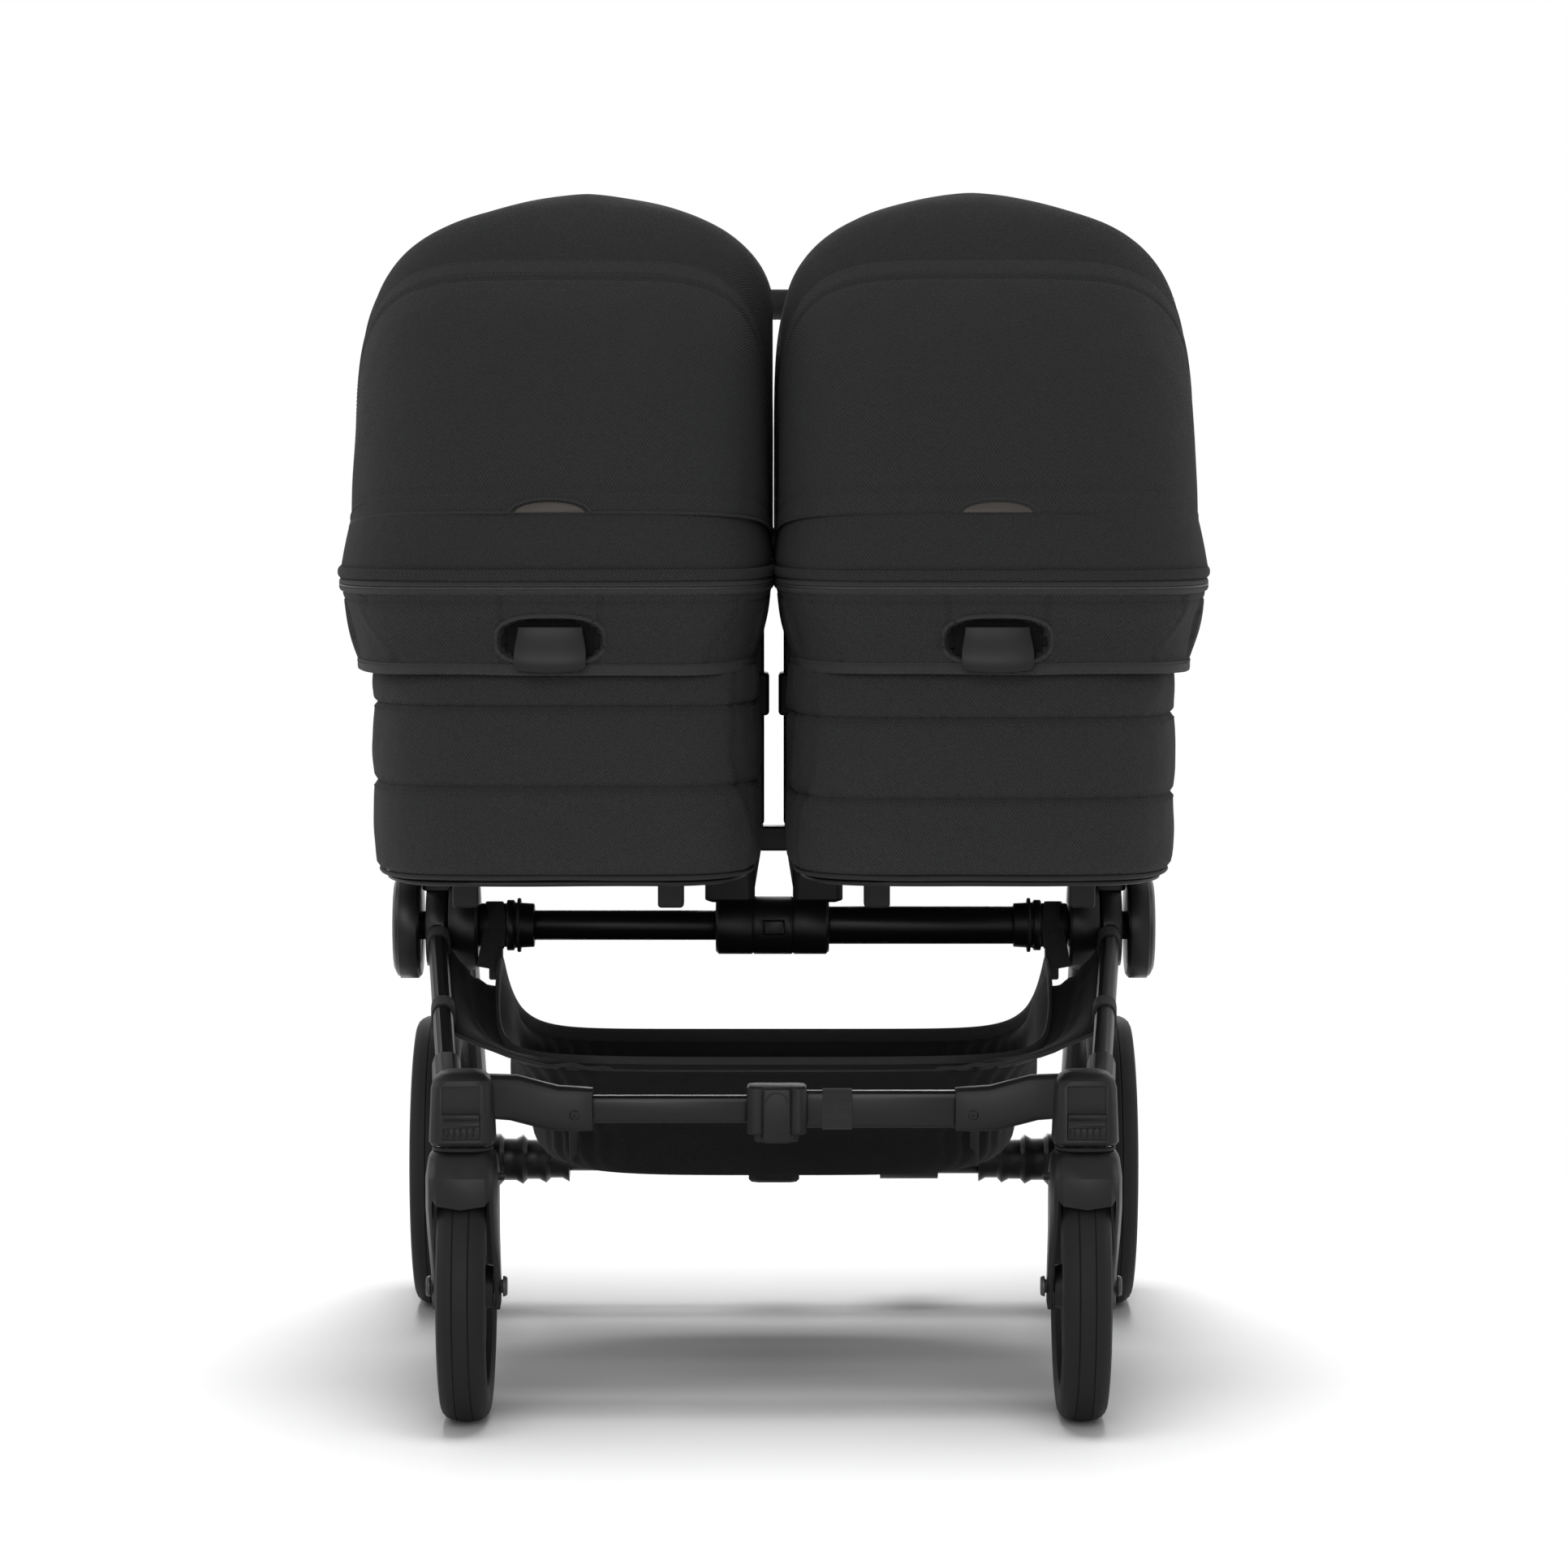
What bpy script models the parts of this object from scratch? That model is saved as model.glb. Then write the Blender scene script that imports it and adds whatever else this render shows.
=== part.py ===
"""Side-by-side twin pram with two carrycots, built from its separate pieces.

Metres, +Z up. +X is to the right as the pram is seen from its front wheels, +Y runs back to the
handlebar. The origin is on the floor, under the middle of the pram.
"""

import math

import bmesh
import bpy
from mathutils import Matrix, Vector

for old in list(bpy.data.objects):
    bpy.data.objects.remove(old)

# Running clearance between pieces that touch
GAP = 0.0003

# Wheels
FRONT_WHEEL_R = 0.1235
FRONT_TYRE_W = 0.045
REAR_WHEEL_R = 0.150
REAR_TYRE_W = 0.049
TYRE_DEPTH = 0.030
FRONT_BORE_R = 0.0065
REAR_STUB_R = 0.008
RIM_WEB = 0.012
SPOKES = 5

# Plan of the chassis
SWIVEL_X = 0.282
SWIVEL_Y = -0.463
TRAIL = 0.055
HUB_Y = -0.038
HUB_Z = 0.421
REAR_AXLE_Y = 0.245
REAR_WHEEL_X = 0.345

# Caster fork
FORK_W = 0.066
FORK_SIDE_CLEAR = 0.0035
WHEEL_WELL_CLEAR = 0.008
FORK_TOP_Z = 0.258
STEM_R = 0.010
STEM_LENGTH = 0.042
AXLE_HEAD_R = 0.010
AXLE_HEAD_T = 0.004

# Caster housing
HOUSING_Z0 = 0.264
HOUSING_H = 0.066
HOUSING_W = 0.060
HOUSING_D = 0.062
LOCK_RECESS_W = 0.0345
LOCK_RECESS_DEPTH = 0.005
LOCK_H = 0.023

# Front cross bar
BAR_Y = -0.440
BAR_Z = 0.2915
BAR_ARM_X = 0.165
BAR_SOCKET = 0.030
THIN_BAR_H = 0.025
THICK_BAR_H = 0.0345
BAR_D = 0.018
CLAMP_X0 = -0.025
CLAMP_X1 = 0.030
CLAMP_H = 0.044
CLAMP_D = 0.036
CLAMP_LEVER_W = 0.025

# Main axle and side hubs
THIN_AXLE_R = 0.0147
THICK_AXLE_R = 0.01865
CENTRE_HUB_R = 0.0285
CENTRE_HUB_X0 = -0.057
CENTRE_HUB_X1 = 0.054
AXLE_SOCKET = 0.036
BUTTON_W = 0.0205
BUTTON_H = 0.015
BUTTON_TRAVEL = 0.004
COLLAR_R = 0.0225
COLLAR_X0 = 0.235
COLLAR_X1 = 0.262
PIN_R = 0.014
REAR_DRUM_X0 = 0.289
REAR_DRUM_X1 = 0.318
FRONT_DRUM_X1 = 0.340
HANDLE_DISC_X0 = 0.3455
HANDLE_DISC_X1 = 0.366
COVER_T = 0.006
REAR_DRUM_R = 0.044
FRONT_DRUM_R = 0.040
HANDLE_DISC_R = 0.052

# Legs
FRONT_LEG_W = 0.019
FRONT_LEG_D = 0.030
REAR_LEG_W = 0.022
REAR_LEG_D = 0.038
FOOT_R = 0.027
FOOT_X0 = 0.212
RIBS = 3

# Rear cross beam
THIN_BEAM_R = 0.012
THICK_BEAM_R = 0.015
BEAM_CLAMP_W = 0.054
BEAM_CLAMP_D = 0.044
PEDAL_X = 0.140
PEDAL_W = 0.060
PEDAL_REACH = 0.062

# Handlebar
HANDLE_LEAN = math.radians(42.1)
HANDLE_LENGTH = 0.833
HANDLE_X_HUB = 0.3585
HANDLE_X_TOP = 0.384
HANDLE_W = 0.024
HANDLE_D = 0.034
HANDLE_WALL = 0.0035
LOWER_LENGTH = 0.560
UPPER_INSERT = 0.060
HANDLE_TRAVEL = 0.120
CORNER_R = 0.075
CROSSBAR_R = 0.011
GRIP_R = 0.016
GRIP_HALF = 0.285
CLAMP_LEVER_L = 0.045
CLAMP_SEAT = 0.0033

# Seat fixings
ADAPTER_X0 = 0.314
ADAPTER_X1 = 0.3445
ADAPTER_D = 0.040
COT_SEAT_Z = 0.500
INNER_BLOCK_X0 = 0.018
INNER_BLOCK_X1 = 0.068
INNER_ARM_X0 = 0.0105
INNER_ARM_X1 = 0.0375
INNER_SEAT_Z = 0.521
CROSS_Z = 0.507
CROSS_H = 0.024
COT_LEG_D = 0.028

# Basket
BASKET_FRONT_Y = -0.280
BASKET_BACK_Y = 0.172
BASKET_FLOOR_Z = 0.206
BASKET_FLOOR_HALF = 0.205
BASKET_RIM_HALF = 0.268
BASKET_FRONT_Z = 0.312
BASKET_BACK_Z = 0.285
BASKET_SIDE_Z = 0.385
BASKET_WALL = 0.003

# Carrycots
COT_X = 0.2005
COT_POWER = 6.0
COT_NEAR_Y = -0.498
COT_FOOT_Y = 0.300
RIM_HALF = 0.198
RIM_FOOT_HALF = 0.168
RIM_FOOT_SHIFT = 0.011
RIM_TOP_Z = 0.783
HEM_Z = RIM_TOP_Z - 0.093
HEM_INSET = 0.016
BODY_NEAR_HALF = 0.1795
BODY_FOOT_HALF = 0.138
BODY_NEAR_SHIFT = 0.0095
BODY_FOOT_SHIFT = 0.0145
BODY_END_INSET = 0.026
COT_WALL = 0.010
COT_FLOOR_T = 0.015
MATTRESS_T = 0.040
FOOT_PAD_H = 0.034
FLAP_W = 0.065
FLAP_H = 0.040
FLAP_T = 0.006
FLAP_TOP_Z = RIM_TOP_Z - 0.050

# Hoods
HOOD_X = 0.1983
PIVOT_Y = -0.198
PIVOT_Z = RIM_TOP_Z + 0.017
PIVOT_R = 0.010
HOOD_T = 0.0025
BACK_R = 0.290
BACK_HALF = 0.1938
BACK_FROM = 7.6
BACK_TO = 65.0
BACK_POWER = 4.8
TOP_R = 0.3255
TOP_HALF = 0.1932
TOP_FROM = 65.6
TOP_TO = 107.1
TOP_POWER = 3.6
TOP_SHIFT = 0.0125
BOW_ANGLE = 108.5
BOW_W = 0.012
BOW_T = 0.0025
BOW_HALF = 0.1968
BOW_POWER = 5.2
BAND_TOP_Z = RIM_TOP_Z + 0.061
BAND_T = 0.0025

# Aprons
APRON_FRONT_Y = -0.060
APRON_RISE = 0.030
APRON_T = 0.0025

# Facets
ROUND = 16
SMALL_ROUND = 12
WHEEL_ROUND = 20

FRONT_AXLE_Y = SWIVEL_Y + TRAIL
SIDES = (("left", -1), ("right", 1))
LEAN_DIR = Vector((0, math.sin(HANDLE_LEAN), math.cos(HANDLE_LEAN)))
LEAN_OUT = Vector((0, math.cos(HANDLE_LEAN), -math.sin(HANDLE_LEAN)))


# Materials

def principled(name, colour, roughness, metallic=0.0):
    material = bpy.data.materials.new(name)
    material.use_nodes = True
    shader = material.node_tree.nodes["Principled BSDF"]
    shader.inputs["Base Color"].default_value = (*colour, 1)
    shader.inputs["Roughness"].default_value = roughness
    shader.inputs["Metallic"].default_value = metallic
    material.diffuse_color = (*colour, 1)
    return material


FINISHES = {
    "tube": ((0.012, 0.012, 0.013), 0.42, 0.7),
    "plastic": ((0.014, 0.014, 0.015), 0.55, 0.0),
    "rubber": ((0.018, 0.018, 0.018), 0.8, 0.0),
    "steel": ((0.05, 0.05, 0.052), 0.35, 1.0),
    "fabric": ((0.013, 0.013, 0.014), 0.9, 0.0),
    "lining": ((0.03, 0.03, 0.031), 0.9, 0.0),
    "foam": ((0.02, 0.02, 0.02), 0.75, 0.0),
}


# Mesh tools

def mesh_object(verts, faces):
    mesh = bpy.data.meshes.new("piece")
    mesh.from_pydata([tuple(v) for v in verts], [], faces)
    work = bmesh.new()
    work.from_mesh(mesh)
    bmesh.ops.recalc_face_normals(work, faces=work.faces)
    work.to_mesh(mesh)
    work.free()
    obj = bpy.data.objects.new("piece", mesh)
    bpy.context.scene.collection.objects.link(obj)
    return obj


def loft(rings, closed=False):
    """A skin through rings of equal point counts, capped at both ends unless it closes on itself."""
    count = len(rings[0])
    verts = [point for ring in rings for point in ring]
    faces = []
    spans = len(rings) if closed else len(rings) - 1
    for i in range(spans):
        a = i * count
        b = ((i + 1) % len(rings)) * count
        for j in range(count):
            k = (j + 1) % count
            faces.append((a + j, a + k, b + k, b + j))
    if not closed:
        faces.append(tuple(range(count)))
        faces.append(tuple(range((len(rings) - 1) * count, len(rings) * count)))
    return mesh_object(verts, faces)


def rounded(value, power):
    return math.copysign(abs(value) ** (2 / power), value)


def oval(half_w, half_h, power=2.0, count=SMALL_ROUND):
    """Points of a superellipse: power 2 is an ellipse, larger powers come near a rounded box."""
    points = []
    for i in range(count):
        angle = 2 * math.pi * (i + 0.5) / count
        points.append((half_w * rounded(math.cos(angle), power), half_h * rounded(math.sin(angle), power)))
    return points


def turned(profile, centre, steps=ROUND, axis="X", bored=False):
    """A turned piece from (place along the axis, radius) points; a bored one closes on itself."""
    rings = []
    for along, radius in profile:
        ring = []
        for i in range(steps):
            angle = 2 * math.pi * (i + 0.5) / steps
            a = radius * math.cos(angle)
            b = radius * math.sin(angle)
            offset = (along, a, b) if axis == "X" else (a, b, along)
            ring.append(Vector(centre) + Vector(offset))
        rings.append(ring)
    return loft(rings, closed=bored)


def rod(x0, x1, radius, y, z, steps=ROUND, chamfer=0.0):
    """A cylinder along X, with its end edges taken off by chamfer."""
    profile = [(x0, radius), (x1, radius)]
    if chamfer:
        profile = [
            (x0, radius - chamfer), (x0 + chamfer, radius),
            (x1 - chamfer, radius), (x1, radius - chamfer)]
    return turned(profile, (0, y, z), steps)


def swept(path, sections, side=(1, 0, 0)):
    """A section carried along a path without twist; sections is one section or one for each point."""
    path = [Vector(p) for p in path]
    if not isinstance(sections[0][0], (tuple, list)):
        sections = [sections] * len(path)
    tangents = []
    for i in range(len(path)):
        before = path[max(i - 1, 0)]
        after = path[min(i + 1, len(path) - 1)]
        tangents.append((after - before).normalized())
    across = Vector(side)
    across = (across - tangents[0] * across.dot(tangents[0])).normalized()
    rings = []
    for i, point in enumerate(path):
        if i:
            across = tangents[i - 1].rotation_difference(tangents[i]) @ across
        up = tangents[i].cross(across)
        rings.append([point + across * a + up * b for a, b in sections[i]])
    return loft(rings)


def block(x, y, z, soft=0.003, power=6.0, count=8):
    """A box between pairs of limits, its upright corners round and its ends eased by soft."""
    x0, x1 = sorted(x)
    y0, y1 = sorted(y)
    z0, z1 = sorted(z)
    cx, cy = (x0 + x1) / 2, (y0 + y1) / 2
    hx, hy = (x1 - x0) / 2, (y1 - y0) / 2
    levels = [(z0, soft), (z0 + soft, 0), (z1 - soft, 0), (z1, soft)]
    rings = []
    for level, inset in levels:
        ring = oval(hx - inset, hy - inset, power, count)
        rings.append([(cx + a, cy + b, level) for a, b in ring])
    return loft(rings)


def sharp_block(x, y, z):
    corners = [(x[0], y[0]), (x[1], y[0]), (x[1], y[1]), (x[0], y[1])]
    return loft([[(a, b, z[0]) for a, b in corners], [(a, b, z[1]) for a, b in corners]])


def combine(target, others, operation):
    for other in others:
        modifier = target.modifiers.new("combine", "BOOLEAN")
        modifier.operation = operation
        modifier.solver = "EXACT"
        modifier.object = other
    bpy.context.view_layer.update()
    depsgraph = bpy.context.evaluated_depsgraph_get()
    mesh = bpy.data.meshes.new_from_object(target.evaluated_get(depsgraph))
    target.modifiers.clear()
    target.data = mesh
    for other in others:
        bpy.data.objects.remove(other)
    return target


def fuse(target, *others):
    return combine(target, others, "UNION")


def cut(target, *others):
    return combine(target, others, "DIFFERENCE")


def node(obj, name, finish, origin=(0, 0, 0), sharp=35):
    """Names a finished piece, gives it its material and puts its origin on its joint's axis."""
    obj.name = name
    obj.data.name = name
    obj.data.transform(Matrix.Translation(-Vector(origin)))
    obj.location = origin
    obj.data.materials.clear()
    obj.data.materials.append(principled(name, *FINISHES[finish]))
    obj.data.shade_smooth()
    obj.data.set_sharp_from_angle(angle=math.radians(sharp))
    return obj


def span(side, near, far):
    """The X limits of a piece whose distances from the middle are near and far."""
    return sorted((side * near, side * far))


# Wheels

def tyre(name, centre, radius, width):
    half = width / 2
    inner = radius - TYRE_DEPTH + GAP
    wall = [(0.62, inner), (0.97, inner + 0.009), (0.93, radius - 0.010), (0.55, radius - 0.0015)]
    profile = [(-half * share, r) for share, r in wall]
    profile.append((0, radius))
    profile += [(half * share, r) for share, r in reversed(wall)]
    return node(turned(profile, centre, WHEEL_ROUND, bored=True), name, "rubber", centre)


def rim(name, centre, radius, width, bore, hub_half, closed_side=0):
    """A spoked rim: hub, web with windows between the spokes, and the seat that the tyre sits on."""
    outer = radius - TYRE_DEPTH
    lip = width * 0.31
    web = RIM_WEB / 2
    half = [
        (hub_half, bore), (hub_half, 0.019), (web, 0.024),
        (web, outer - 0.020), (lip, outer - 0.012), (lip, outer)]
    profile = half + [(-a, r) for a, r in reversed(half)]
    piece = turned(profile, centre, WHEEL_ROUND, bored=True)
    cutters = []
    inner_r = 0.034
    outer_r = outer - 0.023
    for spoke in range(SPOKES):
        middle = 2 * math.pi * (spoke + 0.5) / SPOKES
        ring = []
        for r, spread in ((inner_r, 0.30), (outer_r, 0.46)):
            turns = (-1, 1) if r == inner_r else (1, 0, -1)
            for turn in turns:
                angle = middle + spread * turn
                ring.append((r * math.cos(angle), r * math.sin(angle)))
        x0 = centre[0] - width
        x1 = centre[0] + width
        cutters.append(loft([[(x, centre[1] + a, centre[2] + b) for a, b in ring] for x in (x0, x1)]))
    cut(piece, *cutters)
    if closed_side:
        face = centre[0] + closed_side * hub_half
        near, far = sorted((face - closed_side * 0.004, face + closed_side * 0.003))
        cap = rod(near, far, 0.017, centre[1], centre[2], SMALL_ROUND)
        fuse(piece, cap)
    return node(piece, name, "plastic", centre)


def wheels():
    """The wheels stand on a flat facet, so their corners lie a little outside the true radius."""
    corner = math.cos(math.pi / WHEEL_ROUND)
    front_r = FRONT_WHEEL_R / corner
    rear_r = REAR_WHEEL_R / corner
    for label, side in SIDES:
        front = (side * SWIVEL_X, FRONT_AXLE_Y, FRONT_WHEEL_R)
        tyre("front_tyre_" + label, front, front_r, FRONT_TYRE_W)
        rim("front_rim_" + label, front, front_r, FRONT_TYRE_W, FRONT_BORE_R, FRONT_TYRE_W / 2 + 0.002)
        rear = (side * REAR_WHEEL_X, REAR_AXLE_Y, REAR_WHEEL_R)
        tyre("rear_tyre_" + label, rear, rear_r, REAR_TYRE_W)
        rim("rear_rim_" + label, rear, rear_r, REAR_TYRE_W, REAR_STUB_R + GAP, 0.018, side)


# Casters

def fork(label, side):
    axle_z = FRONT_WHEEL_R
    half = FORK_W / 2
    levels = [
        (FORK_TOP_Z, SWIVEL_Y, half - 0.006, 0.026),
        (FORK_TOP_Z - 0.006, SWIVEL_Y, half - 0.002, 0.031),
        (FORK_TOP_Z - 0.022, SWIVEL_Y - 0.003, half, 0.040),
        (FORK_TOP_Z - 0.050, SWIVEL_Y - 0.002, half, 0.042),
        (axle_z + 0.055, SWIVEL_Y + 0.25 * TRAIL, half - 0.0005, 0.034),
        (axle_z + 0.018, SWIVEL_Y + 0.8 * TRAIL, half - 0.001, 0.022),
        (axle_z, FRONT_AXLE_Y, half - 0.001, 0.018),
        (axle_z - 0.014, FRONT_AXLE_Y, half - 0.001, 0.015),
        (axle_z - 0.021, FRONT_AXLE_Y, half - 0.002, 0.008),
    ]
    rings = []
    for z, y, half_w, half_d in levels:
        ring = oval(half_w, half_d, 4.0, 14)
        rings.append([(side * SWIVEL_X + a, y + b, z) for a, b in ring])
    piece = loft(rings)
    well_half = FRONT_TYRE_W / 2 + FORK_SIDE_CLEAR
    x0 = side * SWIVEL_X - well_half
    x1 = side * SWIVEL_X + well_half
    well = rod(x0, x1, FRONT_WHEEL_R + WHEEL_WELL_CLEAR, FRONT_AXLE_Y, axle_z, WHEEL_ROUND)
    middle = side * SWIVEL_X
    bore = rod(middle - FORK_W, middle + FORK_W, FRONT_BORE_R, FRONT_AXLE_Y, axle_z, SMALL_ROUND)
    cut(piece, well, bore)
    stem_top = FORK_TOP_Z + STEM_LENGTH
    washer_top = HOUSING_Z0 - GAP
    profile = [
        (FORK_TOP_Z - 0.004, 0.019), (washer_top, 0.019), (washer_top, STEM_R),
        (stem_top - 0.002, STEM_R), (stem_top, STEM_R - 0.002),
    ]
    stem = turned(profile, (side * SWIVEL_X, SWIVEL_Y, 0), SMALL_ROUND, axis="Z")
    fuse(piece, stem)
    node(piece, "fork_" + label, "plastic", (side * SWIVEL_X, SWIVEL_Y, FORK_TOP_Z))


def front_axle(label, side):
    centre = side * SWIVEL_X
    face = FORK_W / 2 + GAP
    tip = face + AXLE_HEAD_T
    shank = FRONT_BORE_R - GAP
    profile = [
        (-tip, AXLE_HEAD_R - 0.0015), (-face, AXLE_HEAD_R), (-face, shank),
        (face, shank), (face, AXLE_HEAD_R), (tip, AXLE_HEAD_R - 0.0015),
    ]
    place = (centre, FRONT_AXLE_Y, FRONT_WHEEL_R)
    node(turned(profile, place, SMALL_ROUND), "front_axle_" + label, "steel", place)


def front_leg_path(side):
    start = Vector((side * (FRONT_DRUM_X1 + 0.001 - FRONT_LEG_W / 2), HUB_Y, HUB_Z))
    end = Vector((side * (SWIVEL_X + 0.014), SWIVEL_Y + 0.018, HOUSING_Z0 + 0.040))
    return start, end


def housing_arm_path(side):
    return [
        Vector((side * (SWIVEL_X - 0.012), SWIVEL_Y + 0.010, BAR_Z + 0.014)),
        Vector((side * (SWIVEL_X - 0.045), BAR_Y - 0.003, BAR_Z + 0.011)),
        Vector((side * (BAR_ARM_X + 0.035), BAR_Y, BAR_Z + 0.001)),
        Vector((side * (BAR_ARM_X + 0.015), BAR_Y, BAR_Z)),
        Vector((side * BAR_ARM_X, BAR_Y, BAR_Z)),
    ]


def bar_section(height, grow=0.0):
    return oval(BAR_D / 2 + grow, height / 2 + grow, 4.0, SMALL_ROUND)


def bar_height(side):
    return THIN_BAR_H if side < 0 else THICK_BAR_H


def caster_housing(label, side):
    centre_x = side * SWIVEL_X
    top = HOUSING_Z0 + HOUSING_H
    levels = [
        (HOUSING_Z0, 0.002), (HOUSING_Z0 + 0.003, 0), (top - 0.014, 0.002), (top - 0.007, 0.004),
        (top - 0.002, 0.010), (top, 0.017),
    ]
    rings = []
    for z, inset in levels:
        ring = oval(HOUSING_W / 2 - inset, HOUSING_D / 2 - inset, 4.5, 16)
        rings.append([(centre_x + a, SWIVEL_Y + b, z) for a, b in ring])
    piece = loft(rings)
    arm_sections = [
        oval(0.013, 0.020, 3.5, SMALL_ROUND), oval(0.013, 0.021, 3.5, SMALL_ROUND),
        oval(0.014, 0.021, 3.5, SMALL_ROUND), oval(0.014, 0.0205, 4.0, SMALL_ROUND),
        oval(0.013, 0.0195, 4.0, SMALL_ROUND),
    ]
    arm = swept(housing_arm_path(side), arm_sections, side=(0, 1, 0))
    leg_start, leg_end = front_leg_path(side)
    sleeve_from = leg_start.lerp(leg_end, 0.86)
    sleeve = swept([sleeve_from, leg_end], oval(FRONT_LEG_W / 2 + 0.004, FRONT_LEG_D / 2 + 0.004, 2.8))
    fuse(piece, arm, sleeve)
    socket_end = leg_start.lerp(leg_end, 0.93)
    leg_socket = swept([leg_start, socket_end], oval(FRONT_LEG_W / 2 + GAP, FRONT_LEG_D / 2 + GAP, 2.6))
    x0, x1 = span(side, BAR_ARM_X - 0.010, BAR_ARM_X + BAR_SOCKET)
    bar_socket = swept(
        [(x0, BAR_Y, BAR_Z), (x1, BAR_Y, BAR_Z)], bar_section(bar_height(side), GAP), side=(0, 1, 0))
    stem_bore = turned(
        [(HOUSING_Z0 - 0.01, STEM_R + GAP), (FORK_TOP_Z + STEM_LENGTH + 0.001, STEM_R + GAP)],
        (centre_x, SWIVEL_Y, 0), SMALL_ROUND, axis="Z")
    front = SWIVEL_Y - HOUSING_D / 2
    half = LOCK_RECESS_W / 2
    recess = sharp_block(
        (centre_x - half, centre_x + half), (front - 0.01, front + LOCK_RECESS_DEPTH),
        (HOUSING_Z0 + 0.006, top - 0.012))
    cut(piece, leg_socket, bar_socket, stem_bore, recess)
    node(piece, "caster_housing_" + label, "plastic", (centre_x, SWIVEL_Y, HOUSING_Z0))


def swivel_lock(label, side):
    """The thumb slider in the housing's front, with its lip above and grip teeth below."""
    centre_x = side * SWIVEL_X
    front = SWIVEL_Y - HOUSING_D / 2
    half = LOCK_RECESS_W / 2 - GAP
    z0 = HOUSING_Z0 + 0.006 + GAP
    z1 = z0 + LOCK_H
    back = front + LOCK_RECESS_DEPTH - GAP
    profile = [
        (back, z0), (front - 0.0005, z0), (front - 0.002, z0 + 0.003), (front - 0.002, z0 + 0.011),
        (front - 0.0005, z0 + 0.013), (front - 0.001, z1 - 0.006), (front - 0.005, z1 - 0.003),
        (front - 0.005, z1), (back, z1),
    ]
    piece = loft([[(x, y, z) for y, z in profile] for x in (centre_x - half, centre_x + half)])
    teeth = 6
    pitch = 2 * half / teeth
    grooves = []
    for i in range(1, teeth):
        x = centre_x - half + i * pitch
        depth = (front - 0.004, front - 0.0008)
        grooves.append(sharp_block((x - 0.0008, x + 0.0008), depth, (z0 - 0.001, z0 + 0.010)))
    cut(piece, *grooves)
    node(piece, "swivel_lock_" + label, "plastic", (centre_x, front, z0))


def front_bar(label, side):
    inner = (CLAMP_X1 - 0.024) if side > 0 else (-CLAMP_X0 - 0.024)
    x0, x1 = span(side, inner, BAR_ARM_X + BAR_SOCKET - GAP)
    piece = swept([(x0, BAR_Y, BAR_Z), (x1, BAR_Y, BAR_Z)], bar_section(bar_height(side)), side=(0, 1, 0))
    node(piece, "front_bar_" + label, "tube")


def front_bar_clamp():
    z0 = BAR_Z - CLAMP_H / 2
    z1 = BAR_Z + CLAMP_H / 2
    depth = (BAR_Y - CLAMP_D / 2, BAR_Y + CLAMP_D / 2)
    piece = block((CLAMP_X0, CLAMP_X1), depth, (z0, z1), 0.002, 7.0)
    step = block(
        (CLAMP_X0 + 0.0065, CLAMP_X1 - 0.007), (depth[0] + 0.003, depth[1] - 0.002),
        (z0 - 0.007, z0 + 0.01), 0.002)
    fuse(piece, step)
    sockets = []
    for side in (-1, 1):
        edge = CLAMP_X1 if side > 0 else -CLAMP_X0
        x0, x1 = span(side, edge - 0.024 - GAP, edge + 0.01)
        sockets.append(swept(
            [(x0, BAR_Y, BAR_Z), (x1, BAR_Y, BAR_Z)], bar_section(bar_height(side), GAP), side=(0, 1, 0)))
    middle = (CLAMP_X0 + CLAMP_X1) / 2
    half = CLAMP_LEVER_W / 2 + GAP
    seat = sharp_block(
        (middle - half, middle + half), (depth[0] - 0.01, depth[0] + 0.003), (z0 - 0.02, z1 + 0.01))
    cut(piece, seat, *sockets)
    node(piece, "front_bar_clamp", "plastic")
    hinge = (middle, depth[0] + 0.003 - GAP, z0 - 0.007)
    lever = block(
        (middle - CLAMP_LEVER_W / 2, middle + CLAMP_LEVER_W / 2), (depth[0] - 0.003, depth[0] + 0.003 - GAP),
        (z0 - 0.007, z1 - 0.001), 0.0015, 8.0)
    node(lever, "front_bar_lever", "plastic", hinge)


# Main axle, hubs and legs

def axle_tube(label, side):
    radius = THIN_AXLE_R if side < 0 else THICK_AXLE_R
    inner = (CENTRE_HUB_X1 if side > 0 else -CENTRE_HUB_X0) - AXLE_SOCKET + GAP
    x0, x1 = span(side, inner, COLLAR_X0 + 0.012)
    node(rod(x0, x1, radius, HUB_Y, HUB_Z), "axle_tube_" + label, "tube", (0, HUB_Y, HUB_Z))


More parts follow.
